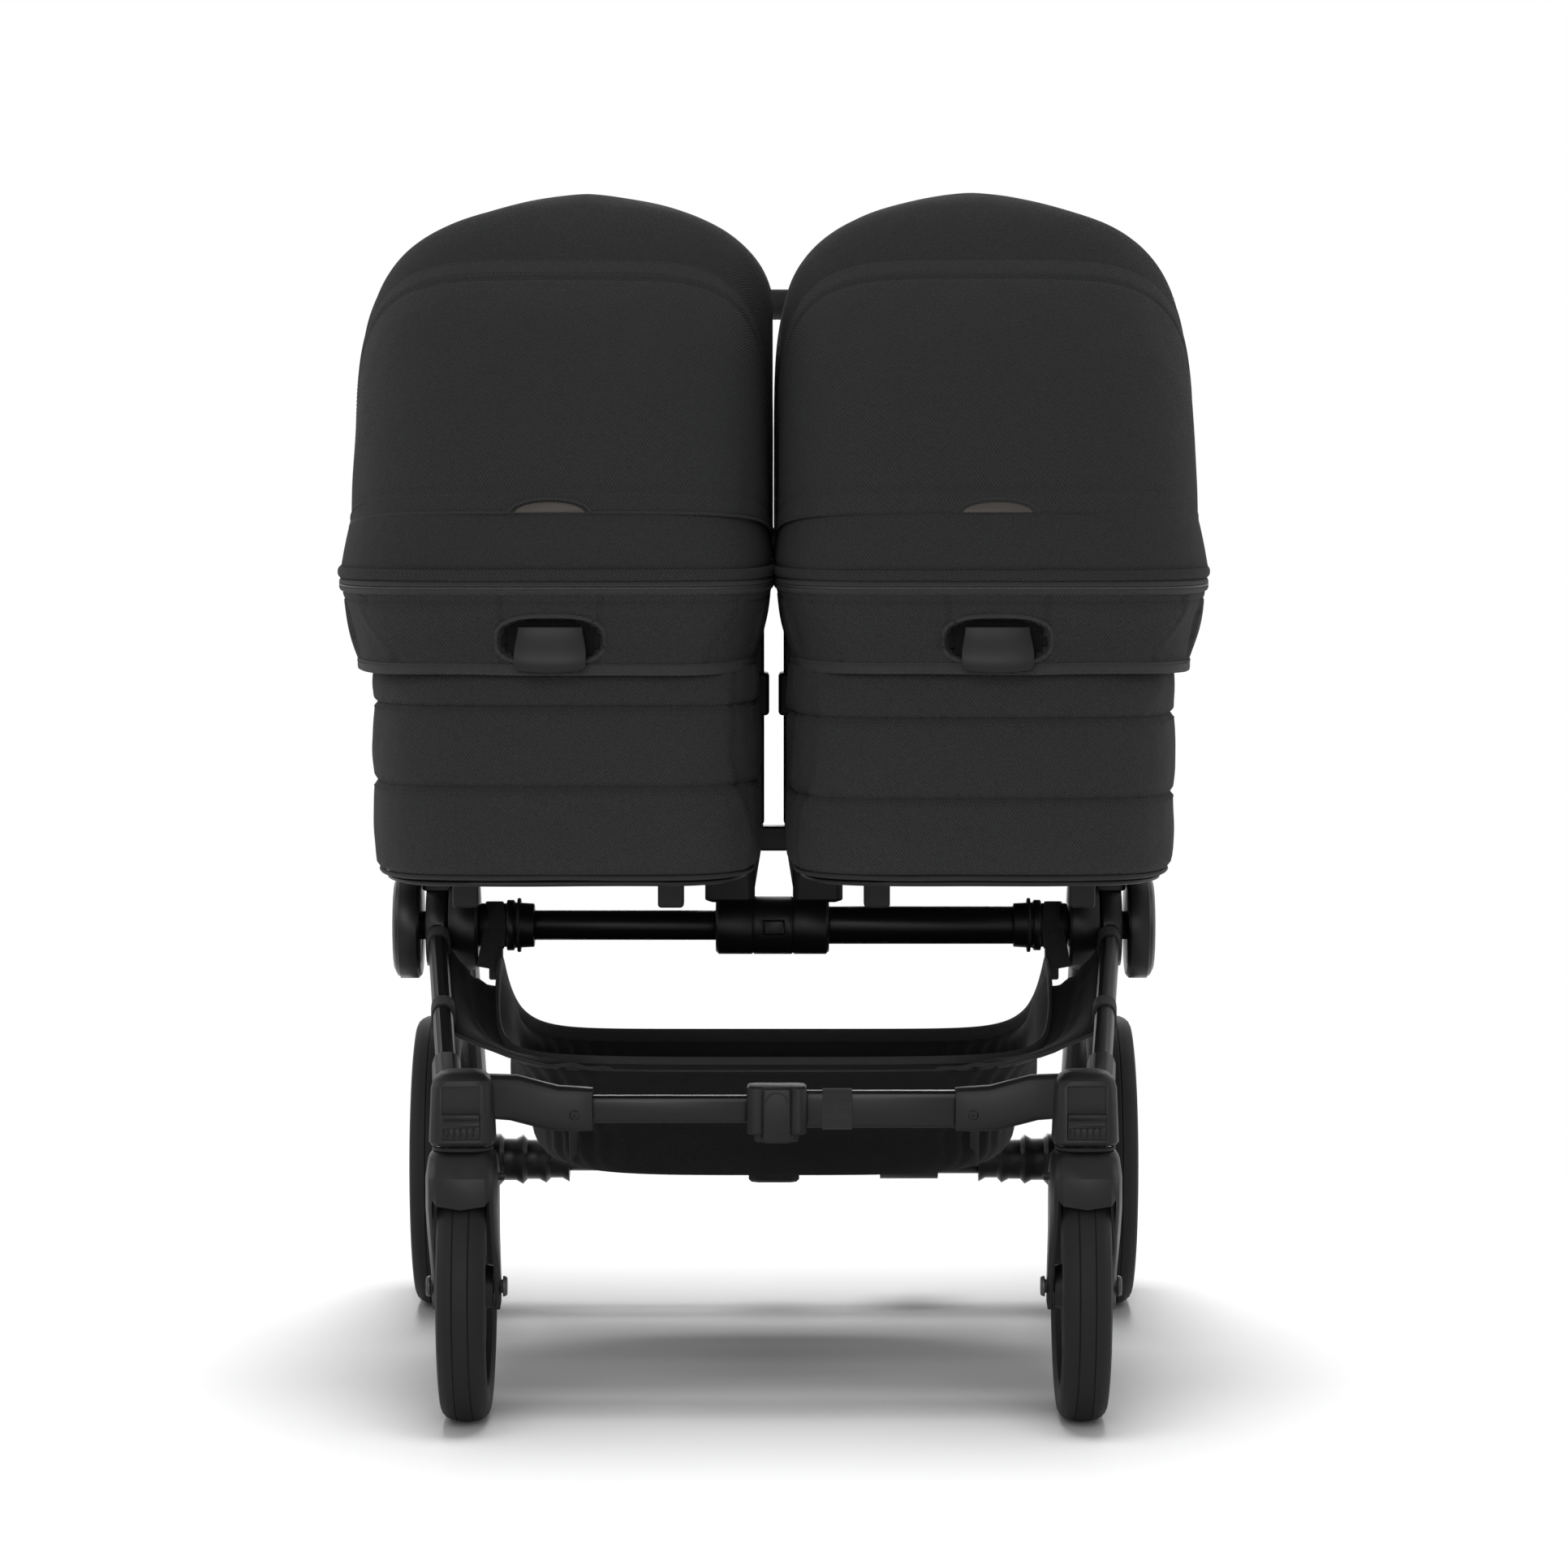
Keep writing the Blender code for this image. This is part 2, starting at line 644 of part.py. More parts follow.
def centre_hub():
    seams = (-0.0203, 0.0187)
    groove = 0.0012
    profile = [(CENTRE_HUB_X0, CENTRE_HUB_R - 0.003), (CENTRE_HUB_X0 + 0.003, CENTRE_HUB_R)]
    for seam in seams:
        profile += [
            (seam - groove, CENTRE_HUB_R), (seam, CENTRE_HUB_R - groove), (seam + groove, CENTRE_HUB_R),
        ]
    profile += [(CENTRE_HUB_X1 - 0.003, CENTRE_HUB_R), (CENTRE_HUB_X1, CENTRE_HUB_R - 0.003)]
    piece = turned(profile, (0, HUB_Y, HUB_Z), ROUND + 4)
    left = rod(CENTRE_HUB_X0 - 0.01, CENTRE_HUB_X0 + AXLE_SOCKET, THIN_AXLE_R + GAP, HUB_Y, HUB_Z)
    right = rod(CENTRE_HUB_X1 - AXLE_SOCKET, CENTRE_HUB_X1 + 0.01, THICK_AXLE_R + GAP, HUB_Y, HUB_Z)
    half_w = BUTTON_W / 2
    half_h = BUTTON_H / 2
    front = HUB_Y - CENTRE_HUB_R
    well = sharp_block((-half_w, half_w), (front - 0.01, front + 0.011), (HUB_Z - half_h, HUB_Z + half_h))
    cut(piece, left, right, well)
    node(piece, "centre_hub", "plastic", (0, HUB_Y, HUB_Z))
    button = block(
        (-half_w + GAP, half_w - GAP), (front - 0.0015, front + 0.011 - BUTTON_TRAVEL - GAP),
        (HUB_Z - half_h + GAP, HUB_Z + half_h - GAP), 0.0012, 9.0)
    node(button, "width_button", "plastic", (0, front, HUB_Z))


def hub_collar(label, side):
    """The end collar of the axle with its ridge ring, and the pin that the side hubs turn on."""
    radius = (THIN_AXLE_R if side < 0 else THICK_AXLE_R) + GAP
    blind = COLLAR_X0 + 0.0125
    pin_end = HANDLE_DISC_X1 - 0.006
    profile = [
        (blind, 0.0), (blind, radius), (COLLAR_X0, radius), (COLLAR_X0, COLLAR_R - 0.001),
        (COLLAR_X1 - 0.008, COLLAR_R), (COLLAR_X1 - 0.007, COLLAR_R + 0.0025),
        (COLLAR_X1, COLLAR_R + 0.0025), (COLLAR_X1, PIN_R), (pin_end, PIN_R),
    ]
    profile[0] = (blind, 0.0005)
    piece = turned([(side * a, r) for a, r in profile], (0, HUB_Y, HUB_Z), ROUND)
    node(piece, "hub_collar_" + label, "plastic", (side * COLLAR_X0, HUB_Y, HUB_Z))


def drum(side, near, far, radius, edge=0.003):
    bore = PIN_R + GAP
    profile = [(near, bore), (near, radius - edge), (near + edge, radius), (far, radius), (far, bore)]
    return turned([(side * a, r) for a, r in profile], (0, HUB_Y, HUB_Z), ROUND, bored=True)


def front_leg(label, side):
    start, end = front_leg_path(side)
    ends_at = start.lerp(end, 0.93) - (end - start).normalized() * GAP
    tube = swept([start.lerp(end, 0.05), ends_at], oval(FRONT_LEG_W / 2, FRONT_LEG_D / 2, 2.6))
    boss = drum(side, REAR_DRUM_X1 + GAP * 2, FRONT_DRUM_X1, FRONT_DRUM_R)
    piece = fuse(boss, tube)
    node(piece, "front_leg_" + label, "tube", (side * FRONT_DRUM_X1, HUB_Y, HUB_Z))


def beam_radius(side):
    return THIN_BEAM_R if side < 0 else THICK_BEAM_R


def rear_leg(label, side):
    """The rear leg from its drum to the ribbed foot that carries the beam and the wheel stub."""
    hub = Vector((side * (REAR_DRUM_X0 + REAR_DRUM_X1) / 2, HUB_Y, HUB_Z))
    foot = Vector((hub.x, REAR_AXLE_Y, REAR_WHEEL_R))
    piece = drum(side, REAR_DRUM_X0, REAR_DRUM_X1 - GAP, REAR_DRUM_R)
    leg = swept(
        [hub.lerp(foot, 0.08), hub.lerp(foot, 0.5), foot],
        [oval(REAR_LEG_W / 2, REAR_LEG_D / 2, 2.6), oval(REAR_LEG_W / 2, REAR_LEG_D / 2, 2.6),
         oval(REAR_LEG_W / 2, REAR_LEG_D / 2 - 0.002, 2.6)])
    solid_to = REAR_DRUM_X1 - 0.034
    profile = [(REAR_DRUM_X1, FOOT_R - 0.003), (REAR_DRUM_X1 - 0.003, FOOT_R), (solid_to, FOOT_R)]
    pitch = (solid_to - FOOT_X0) / RIBS
    for i in range(RIBS):
        at = solid_to - i * pitch
        shrink = 0.0012 * (i + 1)
        profile += [(at - pitch * 0.2, FOOT_R - 0.004 - shrink), (at - pitch * 0.7, FOOT_R - 0.004 - shrink)]
        profile.append((at - pitch, FOOT_R - shrink))
    body = turned([(side * a, r) for a, r in profile], (0, REAR_AXLE_Y, REAR_WHEEL_R), ROUND)
    stub_end = REAR_WHEEL_X + 0.013
    near, far = span(side, REAR_DRUM_X1 - 0.01, stub_end)
    stub = rod(near, far, REAR_STUB_R, REAR_AXLE_Y, REAR_WHEEL_R, SMALL_ROUND, 0.001)
    x0, x1 = span(side, FOOT_X0 - 0.01, FOOT_X0 + 0.050)
    fuse(piece, leg, body, stub)
    cut(piece, rod(x0, x1, beam_radius(side) + GAP, REAR_AXLE_Y, REAR_WHEEL_R))
    pin_bore = rod(*span(side, REAR_DRUM_X0 - 0.01, REAR_DRUM_X1 + 0.01), PIN_R + GAP, HUB_Y, HUB_Z)
    cut(piece, pin_bore)
    node(piece, "rear_leg_" + label, "tube", (side * REAR_DRUM_X0, HUB_Y, HUB_Z))


def rear_beam(label, side):
    x0, x1 = span(side, 0.003, FOOT_X0 + 0.050 - GAP)
    node(rod(x0, x1, beam_radius(side), REAR_AXLE_Y, REAR_WHEEL_R), "rear_beam_" + label, "tube")


def rear_clamp():
    half = BEAM_CLAMP_W / 2
    depth = BEAM_CLAMP_D / 2
    z0 = REAR_WHEEL_R - THICK_BEAM_R - 0.007
    z1 = REAR_WHEEL_R + THICK_BEAM_R + 0.006
    piece = block((-half, half), (REAR_AXLE_Y - depth, REAR_AXLE_Y + depth), (z0, z1), 0.003, 5.0)
    left = rod(-half - 0.01, -0.003 + GAP, THIN_BEAM_R + GAP, REAR_AXLE_Y, REAR_WHEEL_R)
    right = rod(0.003 - GAP, half + 0.01, THICK_BEAM_R + GAP, REAR_AXLE_Y, REAR_WHEEL_R)
    cut(piece, left, right)
    node(piece, "rear_clamp", "plastic")


def brake_pedal():
    """A foot pedal that turns on the thick side of the rear beam."""
    x0 = PEDAL_X - PEDAL_W / 2
    x1 = PEDAL_X + PEDAL_W / 2
    bore = THICK_BEAM_R + GAP
    sleeve = turned(
        [(x0, bore), (x0, bore + 0.005), (x1, bore + 0.005), (x1, bore)],
        (0, REAR_AXLE_Y, REAR_WHEEL_R), ROUND, bored=True)
    start = REAR_AXLE_Y + bore + 0.002
    tread = block(
        (x0 + 0.002, x1 - 0.002), (start, REAR_AXLE_Y + PEDAL_REACH),
        (REAR_WHEEL_R - 0.005, REAR_WHEEL_R + 0.005), 0.0015, 8.0)
    fuse(sleeve, tread)
    node(sleeve, "brake_pedal", "plastic", (PEDAL_X, REAR_AXLE_Y, REAR_WHEEL_R))


# Handlebar

def on_handle(side, along, half_x):
    point = Vector((0, HUB_Y, HUB_Z)) + LEAN_DIR * along
    point.x = side * half_x
    return point


def flare(along):
    """How far out the handle tube lies at a distance from the hub: it steps out past the carrycot."""
    start, end = 0.060, 0.340
    share = min(max((along - start) / (end - start), 0), 1)
    return HANDLE_X_HUB + (HANDLE_X_TOP - HANDLE_X_HUB) * share * share * (3 - 2 * share)


def leg_section(grow=0.0):
    return oval(HANDLE_W / 2 - HANDLE_WALL + grow, HANDLE_D / 2 - HANDLE_WALL + grow, 2.6)


def handle_tube(label, side):
    face = HANDLE_DISC_X1 + COVER_T
    disc_profile = [
        (HANDLE_DISC_X0, HANDLE_DISC_R - 0.003), (HANDLE_DISC_X0 + 0.003, HANDLE_DISC_R),
        (HANDLE_DISC_X1, HANDLE_DISC_R), (HANDLE_DISC_X1 + 0.0005, HANDLE_DISC_R - 0.0015),
        (face - 0.003, HANDLE_DISC_R - 0.003), (face, HANDLE_DISC_R - 0.009),
        (face - 0.001, HANDLE_DISC_R - 0.022),
    ]
    disc = turned([(side * a, r) for a, r in disc_profile], (0, HUB_Y, HUB_Z), ROUND + 4)
    stops = [0.030, 0.060, 0.120, 0.180, 0.240, 0.300, 0.340, LOWER_LENGTH]
    path = [on_handle(side, along, flare(along)) for along in stops]
    tube = swept(path, oval(HANDLE_W / 2, HANDLE_D / 2, 2.6))
    collar_from = LOWER_LENGTH - 0.030
    collar = swept(
        [on_handle(side, collar_from, HANDLE_X_TOP), on_handle(side, LOWER_LENGTH + 0.002, HANDLE_X_TOP)],
        oval(HANDLE_W / 2 + 0.0025, HANDLE_D / 2 + 0.003, 2.8))
    fuse(disc, tube, collar)
    bore_from = LOWER_LENGTH - UPPER_INSERT - HANDLE_TRAVEL - 0.006
    bore = swept(
        [on_handle(side, bore_from, HANDLE_X_TOP), on_handle(side, LOWER_LENGTH + 0.02, HANDLE_X_TOP)],
        leg_section(GAP))
    pin = rod(*span(side, HANDLE_DISC_X0 - 0.01, HANDLE_DISC_X1 - 0.006 + GAP), PIN_R + GAP, HUB_Y, HUB_Z)
    cut(disc, bore, pin)
    node(disc, "handle_tube_" + label, "tube", (side * HANDLE_DISC_X0, HUB_Y, HUB_Z))


def handlebar_upper():
    """The telescoping bow: two straight legs, round corners and the crossbar inside the grip."""
    path = []
    sections = []
    bottom = LOWER_LENGTH - UPPER_INSERT
    corner = HANDLE_LENGTH - CORNER_R
    leg = leg_section(-GAP)
    bar = oval(CROSSBAR_R, CROSSBAR_R, 2.0)

    def mixed(share):
        return [(a[0] + (b[0] - a[0]) * share, a[1] + (b[1] - a[1]) * share) for a, b in zip(leg, bar)]

    path.append(on_handle(-1, bottom, HANDLE_X_TOP))
    path.append(on_handle(-1, LOWER_LENGTH + 0.06, HANDLE_X_TOP))
    sections += [leg, leg]
    turns = 7
    for i in range(turns):
        angle = math.pi / 2 * i / (turns - 1)
        inward = CORNER_R * (1 - math.cos(angle))
        path.append(on_handle(-1, corner + CORNER_R * math.sin(angle), HANDLE_X_TOP - inward))
        sections.append(mixed(i / (turns - 1)))
    mirrored = [Vector((-p.x, p.y, p.z)) for p in reversed(path)]
    piece = swept(path + mirrored, sections + list(reversed(sections)))
    node(piece, "handlebar_upper", "tube", on_handle(0, HANDLE_LENGTH, 0))
    centre = on_handle(0, HANDLE_LENGTH, 0)
    bore = CROSSBAR_R + GAP
    profile = [
        (-GRIP_HALF, bore), (-GRIP_HALF, GRIP_R - 0.003), (-GRIP_HALF + 0.003, GRIP_R),
        (GRIP_HALF - 0.003, GRIP_R), (GRIP_HALF, GRIP_R - 0.003), (GRIP_HALF, bore),
    ]
    node(turned(profile, centre, SMALL_ROUND + 6, bored=True), "handle_grip", "foam", centre)


def height_clamp(label, side):
    """The lever behind the tube's collar that frees the height slide."""
    hinge_at = LOWER_LENGTH - 0.006
    surface = HANDLE_D / 2 + 0.003 + GAP
    hinge = on_handle(side, hinge_at, HANDLE_X_TOP) + LEAN_OUT * surface
    low = on_handle(side, hinge_at - CLAMP_LEVER_L, HANDLE_X_TOP) + LEAN_OUT * (surface + CLAMP_SEAT)
    high = on_handle(side, hinge_at, HANDLE_X_TOP) + LEAN_OUT * (surface + CLAMP_SEAT)
    piece = swept([low, high], oval(0.009, 0.0038, 4.0))
    node(piece, "height_clamp_" + label, "plastic", hinge)


# Seat fixings

def seat_adapter(label, side):
    low = HUB_Z + FRONT_DRUM_R - 0.006
    depth = (HUB_Y - ADAPTER_D / 2, HUB_Y + ADAPTER_D / 2)
    piece = block(span(side, ADAPTER_X0, ADAPTER_X1), depth, (low, COT_SEAT_Z), 0.002, 7.0)
    saddle = rod(*span(side, ADAPTER_X0 - 0.01, ADAPTER_X1 + 0.01), FRONT_DRUM_R + GAP, HUB_Y, HUB_Z)
    turning_r = REAR_DRUM_R / math.cos(math.pi / ROUND) + GAP
    drum_clear = rod(*span(side, ADAPTER_X0 - 0.01, REAR_DRUM_X1 + GAP), turning_r, HUB_Y, HUB_Z)
    cut(piece, saddle, drum_clear)
    node(piece, "seat_adapter_" + label, "plastic")


def centre_bracket():
    """The forked bracket on the centre hub that carries the inner leg of each carrycot."""
    depth = (HUB_Y - ADAPTER_D / 2, HUB_Y + ADAPTER_D / 2)
    top = HUB_Z + CENTRE_HUB_R + 0.048
    pieces = []
    for side in (-1, 1):
        width = span(side, INNER_BLOCK_X0, INNER_BLOCK_X1)
        pieces.append(block(width, depth, (HUB_Z + 0.024, top), 0.003, 6.0))
        slope = 0.010
        low = HUB_Z + CENTRE_HUB_R - 0.002
        arm = loft([
            [(side * (x + lean), y, z) for x, y in (
                (INNER_ARM_X0, depth[0] + 0.006), (INNER_ARM_X1, depth[0] + 0.006),
                (INNER_ARM_X1, depth[1] - 0.006), (INNER_ARM_X0, depth[1] - 0.006))]
            for z, lean in ((low, slope), (INNER_SEAT_Z - 0.012, 0.0), (INNER_SEAT_Z, 0.0))
        ])
        pieces.append(arm)
    cross = block(
        (-INNER_ARM_X0 - 0.006, INNER_ARM_X0 + 0.006), (depth[0] + 0.008, depth[1] - 0.008),
        (CROSS_Z - CROSS_H / 2, CROSS_Z + CROSS_H / 2), 0.002, 6.0)
    bracket = fuse(cross, *pieces)
    saddle = rod(CENTRE_HUB_X0 - 0.03, CENTRE_HUB_X1 + 0.03, CENTRE_HUB_R + GAP, HUB_Y, HUB_Z, ROUND + 4)
    cut(bracket, saddle)
    node(bracket, "centre_bracket", "plastic")


# Basket

def basket_ring(share, bulge=0.0):
    """One level of the basket between its floor (share 0) and its rim (share 1)."""
    middle = (BASKET_FRONT_Y + BASKET_BACK_Y) / 2
    half_y = (BASKET_BACK_Y - BASKET_FRONT_Y) / 2 - 0.012 * (1 - share)
    ring = []
    count = 32
    for i in range(count):
        angle = 2 * math.pi * i / count
        cx = rounded(math.cos(angle), 3.8)
        cy = rounded(math.sin(angle), 3.8)
        y = middle + (half_y + bulge) * cy
        lift = math.exp(-((y - HUB_Y) / 0.105) ** 2)
        ends = BASKET_BACK_Z if cy > 0 else BASKET_FRONT_Z
        back = (y - BASKET_FRONT_Y) / (BASKET_BACK_Y - BASKET_FRONT_Y)
        base = BASKET_FRONT_Z + (BASKET_BACK_Z - BASKET_FRONT_Z) * back
        rim_z = base + (BASKET_SIDE_Z - base) * lift
        narrow = 0.030 * abs(cy) ** 3
        half_x = BASKET_FLOOR_HALF + (BASKET_RIM_HALF - narrow - BASKET_FLOOR_HALF) * math.sqrt(share)
        z = BASKET_FLOOR_Z + (rim_z - BASKET_FLOOR_Z) * share
        ring.append(((half_x + bulge) * cx, y, z))
    return ring


def basket():
    outer = [(0.0, -0.010), (0.04, -0.002), (0.25, 0.004), (0.45, -0.003), (0.70, 0.004), (1.0, 0.0)]
    rings = [basket_ring(share, bulge) for share, bulge in outer]
    rings.append(basket_ring(1.0, -BASKET_WALL))
    for share, bulge in reversed(outer[1:]):
        lift = BASKET_WALL / (BASKET_FRONT_Z - BASKET_FLOOR_Z)
        rings.append(basket_ring(max(share * (1 - lift), lift), bulge - BASKET_WALL))
    piece = loft(rings)
    tabs = []
    for _, side in SIDES:
        tabs.append(sharp_block(
            span(side, BASKET_RIM_HALF - 0.004, BASKET_RIM_HALF + 0.014), (HUB_Y - 0.012, HUB_Y + 0.012),
            (BASKET_SIDE_Z - 0.014, HUB_Z - PIN_R - GAP)))
    fuse(piece, *tabs)
    node(piece, "basket", "fabric", sharp=60)


# Carrycots

def mixed_size(y, near, foot, from_y, to_y):
    share = min(max((y - from_y) / (to_y - from_y), 0), 1)
    share = share * share * (3 - 2 * share)
    return near + (foot - near) * share


def rim_outline(side, z, inset=0.0, count=28):
    ring = []
    middle = (COT_NEAR_Y + COT_FOOT_Y) / 2
    half_y = (COT_FOOT_Y - COT_NEAR_Y) / 2 - inset
    for i in range(count):
        angle = 2 * math.pi * (i + 0.5) / count
        y = middle + half_y * rounded(math.sin(angle), COT_POWER)
        half = mixed_size(y, RIM_HALF, RIM_FOOT_HALF, -0.12, 0.16) - inset
        shift = mixed_size(y, 0.0, RIM_FOOT_SHIFT, -0.12, 0.16)
        x = COT_X - shift + half * rounded(math.cos(angle), COT_POWER)
        ring.append((side * x, y, z))
    return ring


def body_outline(side, z, inset=0.0, count=28):
    ring = []
    near = COT_NEAR_Y + BODY_END_INSET
    foot = COT_FOOT_Y - BODY_END_INSET
    middle = (near + foot) / 2
    half_y = (foot - near) / 2 - inset
    for i in range(count):
        angle = 2 * math.pi * (i + 0.5) / count
        y = middle + half_y * rounded(math.sin(angle), COT_POWER)
        half = mixed_size(y, BODY_NEAR_HALF, BODY_FOOT_HALF, -0.36, -0.09) - inset
        shift = mixed_size(y, BODY_NEAR_SHIFT, BODY_FOOT_SHIFT, -0.36, -0.09)
        x = COT_X - shift + half * rounded(math.cos(angle), COT_POWER)
        ring.append((side * x, y, z))
    return ring


def carrycot(label, side):
    """The tub: a soft-cornered lower body, the flared skirt and rim, and the legs that seat it."""
    floor = COT_SEAT_Z
    rings = [
        body_outline(side, floor, 0.020), body_outline(side, floor + 0.006, 0.007),
        body_outline(side, floor + 0.018, 0.0), body_outline(side, HEM_Z + 0.008, 0.0),
        rim_outline(side, HEM_Z + 0.003, HEM_INSET + 0.006), rim_outline(side, HEM_Z, HEM_INSET),
        rim_outline(side, RIM_TOP_Z - 0.016, 0.0), rim_outline(side, RIM_TOP_Z, 0.002),
        rim_outline(side, RIM_TOP_Z, 0.022), body_outline(side, RIM_TOP_Z - 0.012, COT_WALL),
        body_outline(side, floor + COT_FLOOR_T, COT_WALL),
    ]
    piece = loft(rings)
    half_d = COT_LEG_D / 2
    top = HEM_Z + 0.030
    inner = block(
        span(side, INNER_ARM_X0 - 0.001, INNER_ARM_X1 - 0.0005), (HUB_Y - half_d, HUB_Y + half_d),
        (INNER_SEAT_Z + GAP, top), 0.001, 6.0)
    knuckle = block(
        span(side, INNER_ARM_X0 - 0.006, INNER_ARM_X1 + 0.002),
        (HUB_Y - half_d - 0.004, HUB_Y + half_d + 0.004),
        (HEM_Z - 0.062, HEM_Z - 0.020), 0.002, 6.0)
    outer = block(
        span(side, ADAPTER_X1 - 0.015, ADAPTER_X1), (HUB_Y - half_d, HUB_Y + half_d),
        (COT_SEAT_Z + GAP, top), 0.001, 6.0)
    pads = []
    for y in (COT_NEAR_Y + 0.170, COT_FOOT_Y - 0.130):
        for x in (COT_X - 0.105, COT_X + 0.085):
            height = (floor - FOOT_PAD_H, floor + 0.004)
            pads.append(sharp_block(span(side, x - 0.012, x + 0.012), (y - 0.016, y + 0.016), height))
    fuse(piece, inner, knuckle, outer, *pads)
    slot_z = FLAP_TOP_Z - FLAP_H / 2
    slot = swept(
        [(side * COT_X, COT_NEAR_Y - 0.010, slot_z), (side * COT_X, COT_NEAR_Y + 0.018, slot_z)],
        oval(FLAP_W / 2 + 0.013, FLAP_H / 2 + 0.006, 3.2, 16))
    cut(piece, slot)
    node(piece, "carrycot_" + label, "fabric", (side * COT_X, HUB_Y, COT_SEAT_Z))


def mattress(label, side):
    base = COT_SEAT_Z + COT_FLOOR_T + GAP
    inset = COT_WALL + 0.003
    levels = [
        (0.0, inset + 0.006), (0.007, inset), (MATTRESS_T - 0.010, inset),
        (MATTRESS_T - 0.003, inset + 0.006), (MATTRESS_T, inset + 0.018),
        (MATTRESS_T + 0.004, inset + 0.060),
    ]
    rings = [body_outline(side, base + height, step, 24) for height, step in levels]
    node(loft(rings), "mattress_" + label, "foam", sharp=50)


def release_flap(label, side):
    """The pull flap at the head end, hinged along its top edge."""
    x0 = side * COT_X - FLAP_W / 2
    x1 = side * COT_X + FLAP_W / 2
    back = COT_NEAR_Y + 0.018 - GAP
    low = FLAP_TOP_Z - FLAP_H
    profile = [
        (back, FLAP_TOP_Z), (COT_NEAR_Y + 0.010, FLAP_TOP_Z), (COT_NEAR_Y + 0.001, FLAP_TOP_Z - 0.006),
        (COT_NEAR_Y - 0.001, low + 0.002), (COT_NEAR_Y, low), (COT_NEAR_Y + FLAP_T, low),
        (COT_NEAR_Y + FLAP_T + 0.002, FLAP_TOP_Z - 0.014), (back, FLAP_TOP_Z - 0.010),
    ]
    piece = loft([[(x, y, z) for y, z in profile] for x in (x0, x1)])
    node(piece, "release_flap_" + label, "plastic", (side * COT_X, back, FLAP_TOP_Z))


# Hoods and aprons

def arch(side, angle, radius, half, power, shift=0.0, start_r=PIVOT_R, count=15):
    """Points of one hood arch in the half plane at an angle about the pivots, 0 facing the head end."""
    turn = math.radians(angle)
    first = math.asin((start_r / radius) ** (power / 2))
    points = []
    for i in range(count):
        t = first + (math.pi - 2 * first) * i / (count - 1)
        across = half * rounded(math.cos(t), power)
        out = radius * math.sin(t) ** (2 / power)
        across -= shift * (out / radius) ** 2
        points.append((
            side * (HOOD_X + across), PIVOT_Y - out * math.cos(turn), PIVOT_Z + out * math.sin(turn)))
    return points


def hood_back(label, side):
    rings = []
    steps = 6
    for i in range(steps):
        angle = BACK_FROM + (BACK_TO - BACK_FROM) * i / (steps - 1)
        outer = arch(side, angle, BACK_R, BACK_HALF, BACK_POWER)
        inner = arch(side, angle, BACK_R - HOOD_T, BACK_HALF - HOOD_T, BACK_POWER)
        rings.append(outer + inner[::-1])
    node(loft(rings), "hood_back_" + label, "fabric", (side * COT_X, PIVOT_Y, PIVOT_Z), sharp=60)


def hood_top(label, side):
    """The cloth from the back panel's arch up to the front bow, drawn in where it leaves the arch."""
    rings = []
    steps = 6
    for i in range(steps):
        share = i / (steps - 1)
        angle = TOP_FROM + (TOP_TO - TOP_FROM) * share
        rise = math.sin(math.pi / 2 * min(share / 0.62, 1))
        radius = BACK_R - HOOD_T + (TOP_R - BACK_R + HOOD_T) * rise
        outer = arch(side, angle, radius, TOP_HALF, TOP_POWER, TOP_SHIFT)
        inner = arch(side, angle, radius - HOOD_T, TOP_HALF - HOOD_T, TOP_POWER, TOP_SHIFT)
        rings.append(outer + inner[::-1])
    node(loft(rings), "hood_top_" + label, "fabric", (side * COT_X, PIVOT_Y, PIVOT_Z), sharp=60)


def hood_bow(label, side):
    """The flat bow that pulls the hood open, turning on the two pivots."""
    turn = math.radians(BOW_ANGLE)
    normal = Vector((0, math.sin(turn), math.cos(turn))) * (BOW_W / 2)
    outer = arch(side, BOW_ANGLE, TOP_R + BOW_T, BOW_HALF, BOW_POWER, count=19)
    inner = arch(side, BOW_ANGLE, TOP_R, BOW_HALF - BOW_T, BOW_POWER, count=19)
    rings = []
    for a, b in zip(outer, inner):
        a = Vector(a)
        b = Vector(b)
        rings.append([a - normal, a + normal, b + normal, b - normal])
    node(loft(rings), "hood_bow_" + label, "plastic", (side * COT_X, PIVOT_Y, PIVOT_Z))


def hood_band(label, side):
    """The band between the rim and the hood's hem, with the pivot pins at its two ends."""
    base = RIM_TOP_Z + GAP
    rings = []
    steps = 15
    reach = 0.026

    def level(t, radius, half, z, straight=0.0):
        x = HOOD_X + half * rounded(math.cos(t), BACK_POWER)
        y = PIVOT_Y - radius * math.sin(t) ** (2 / BACK_POWER) + straight
        return (side * x, y, z)

    for i in range(-1, steps + 1):
        t = math.pi * min(max(i, 0), steps - 1) / (steps - 1)
        straight = reach if i in (-1, steps) else 0.0
        levels = (
            (BACK_R + 0.003, BACK_HALF + 0.0005, base),
            (BACK_R - 0.004, BACK_HALF - HOOD_T - 0.0030, PIVOT_Z - 0.004),
            (BACK_R - 0.010, BACK_HALF - HOOD_T - 0.0048, BAND_TOP_Z),
        )
        outer = [level(t, radius, half, z, straight) for radius, half, z in levels]
        inner = [level(t, radius - BAND_T, half - BAND_T, z, straight) for radius, half, z in levels]
        rings.append(outer + inner[::-1])
    piece = loft(rings)
    pins = []
    for way in (-1, 1):
        inner = side * (HOOD_X + way * (BACK_HALF - 0.010))
        outer = side * (HOOD_X + way * (BOW_HALF - 0.001))
        pins.append(rod(*sorted((inner, outer)), PIVOT_R - GAP, PIVOT_Y, PIVOT_Z, 8))
    fuse(piece, *pins)
    node(piece, "hood_band_" + label, "fabric", sharp=60)


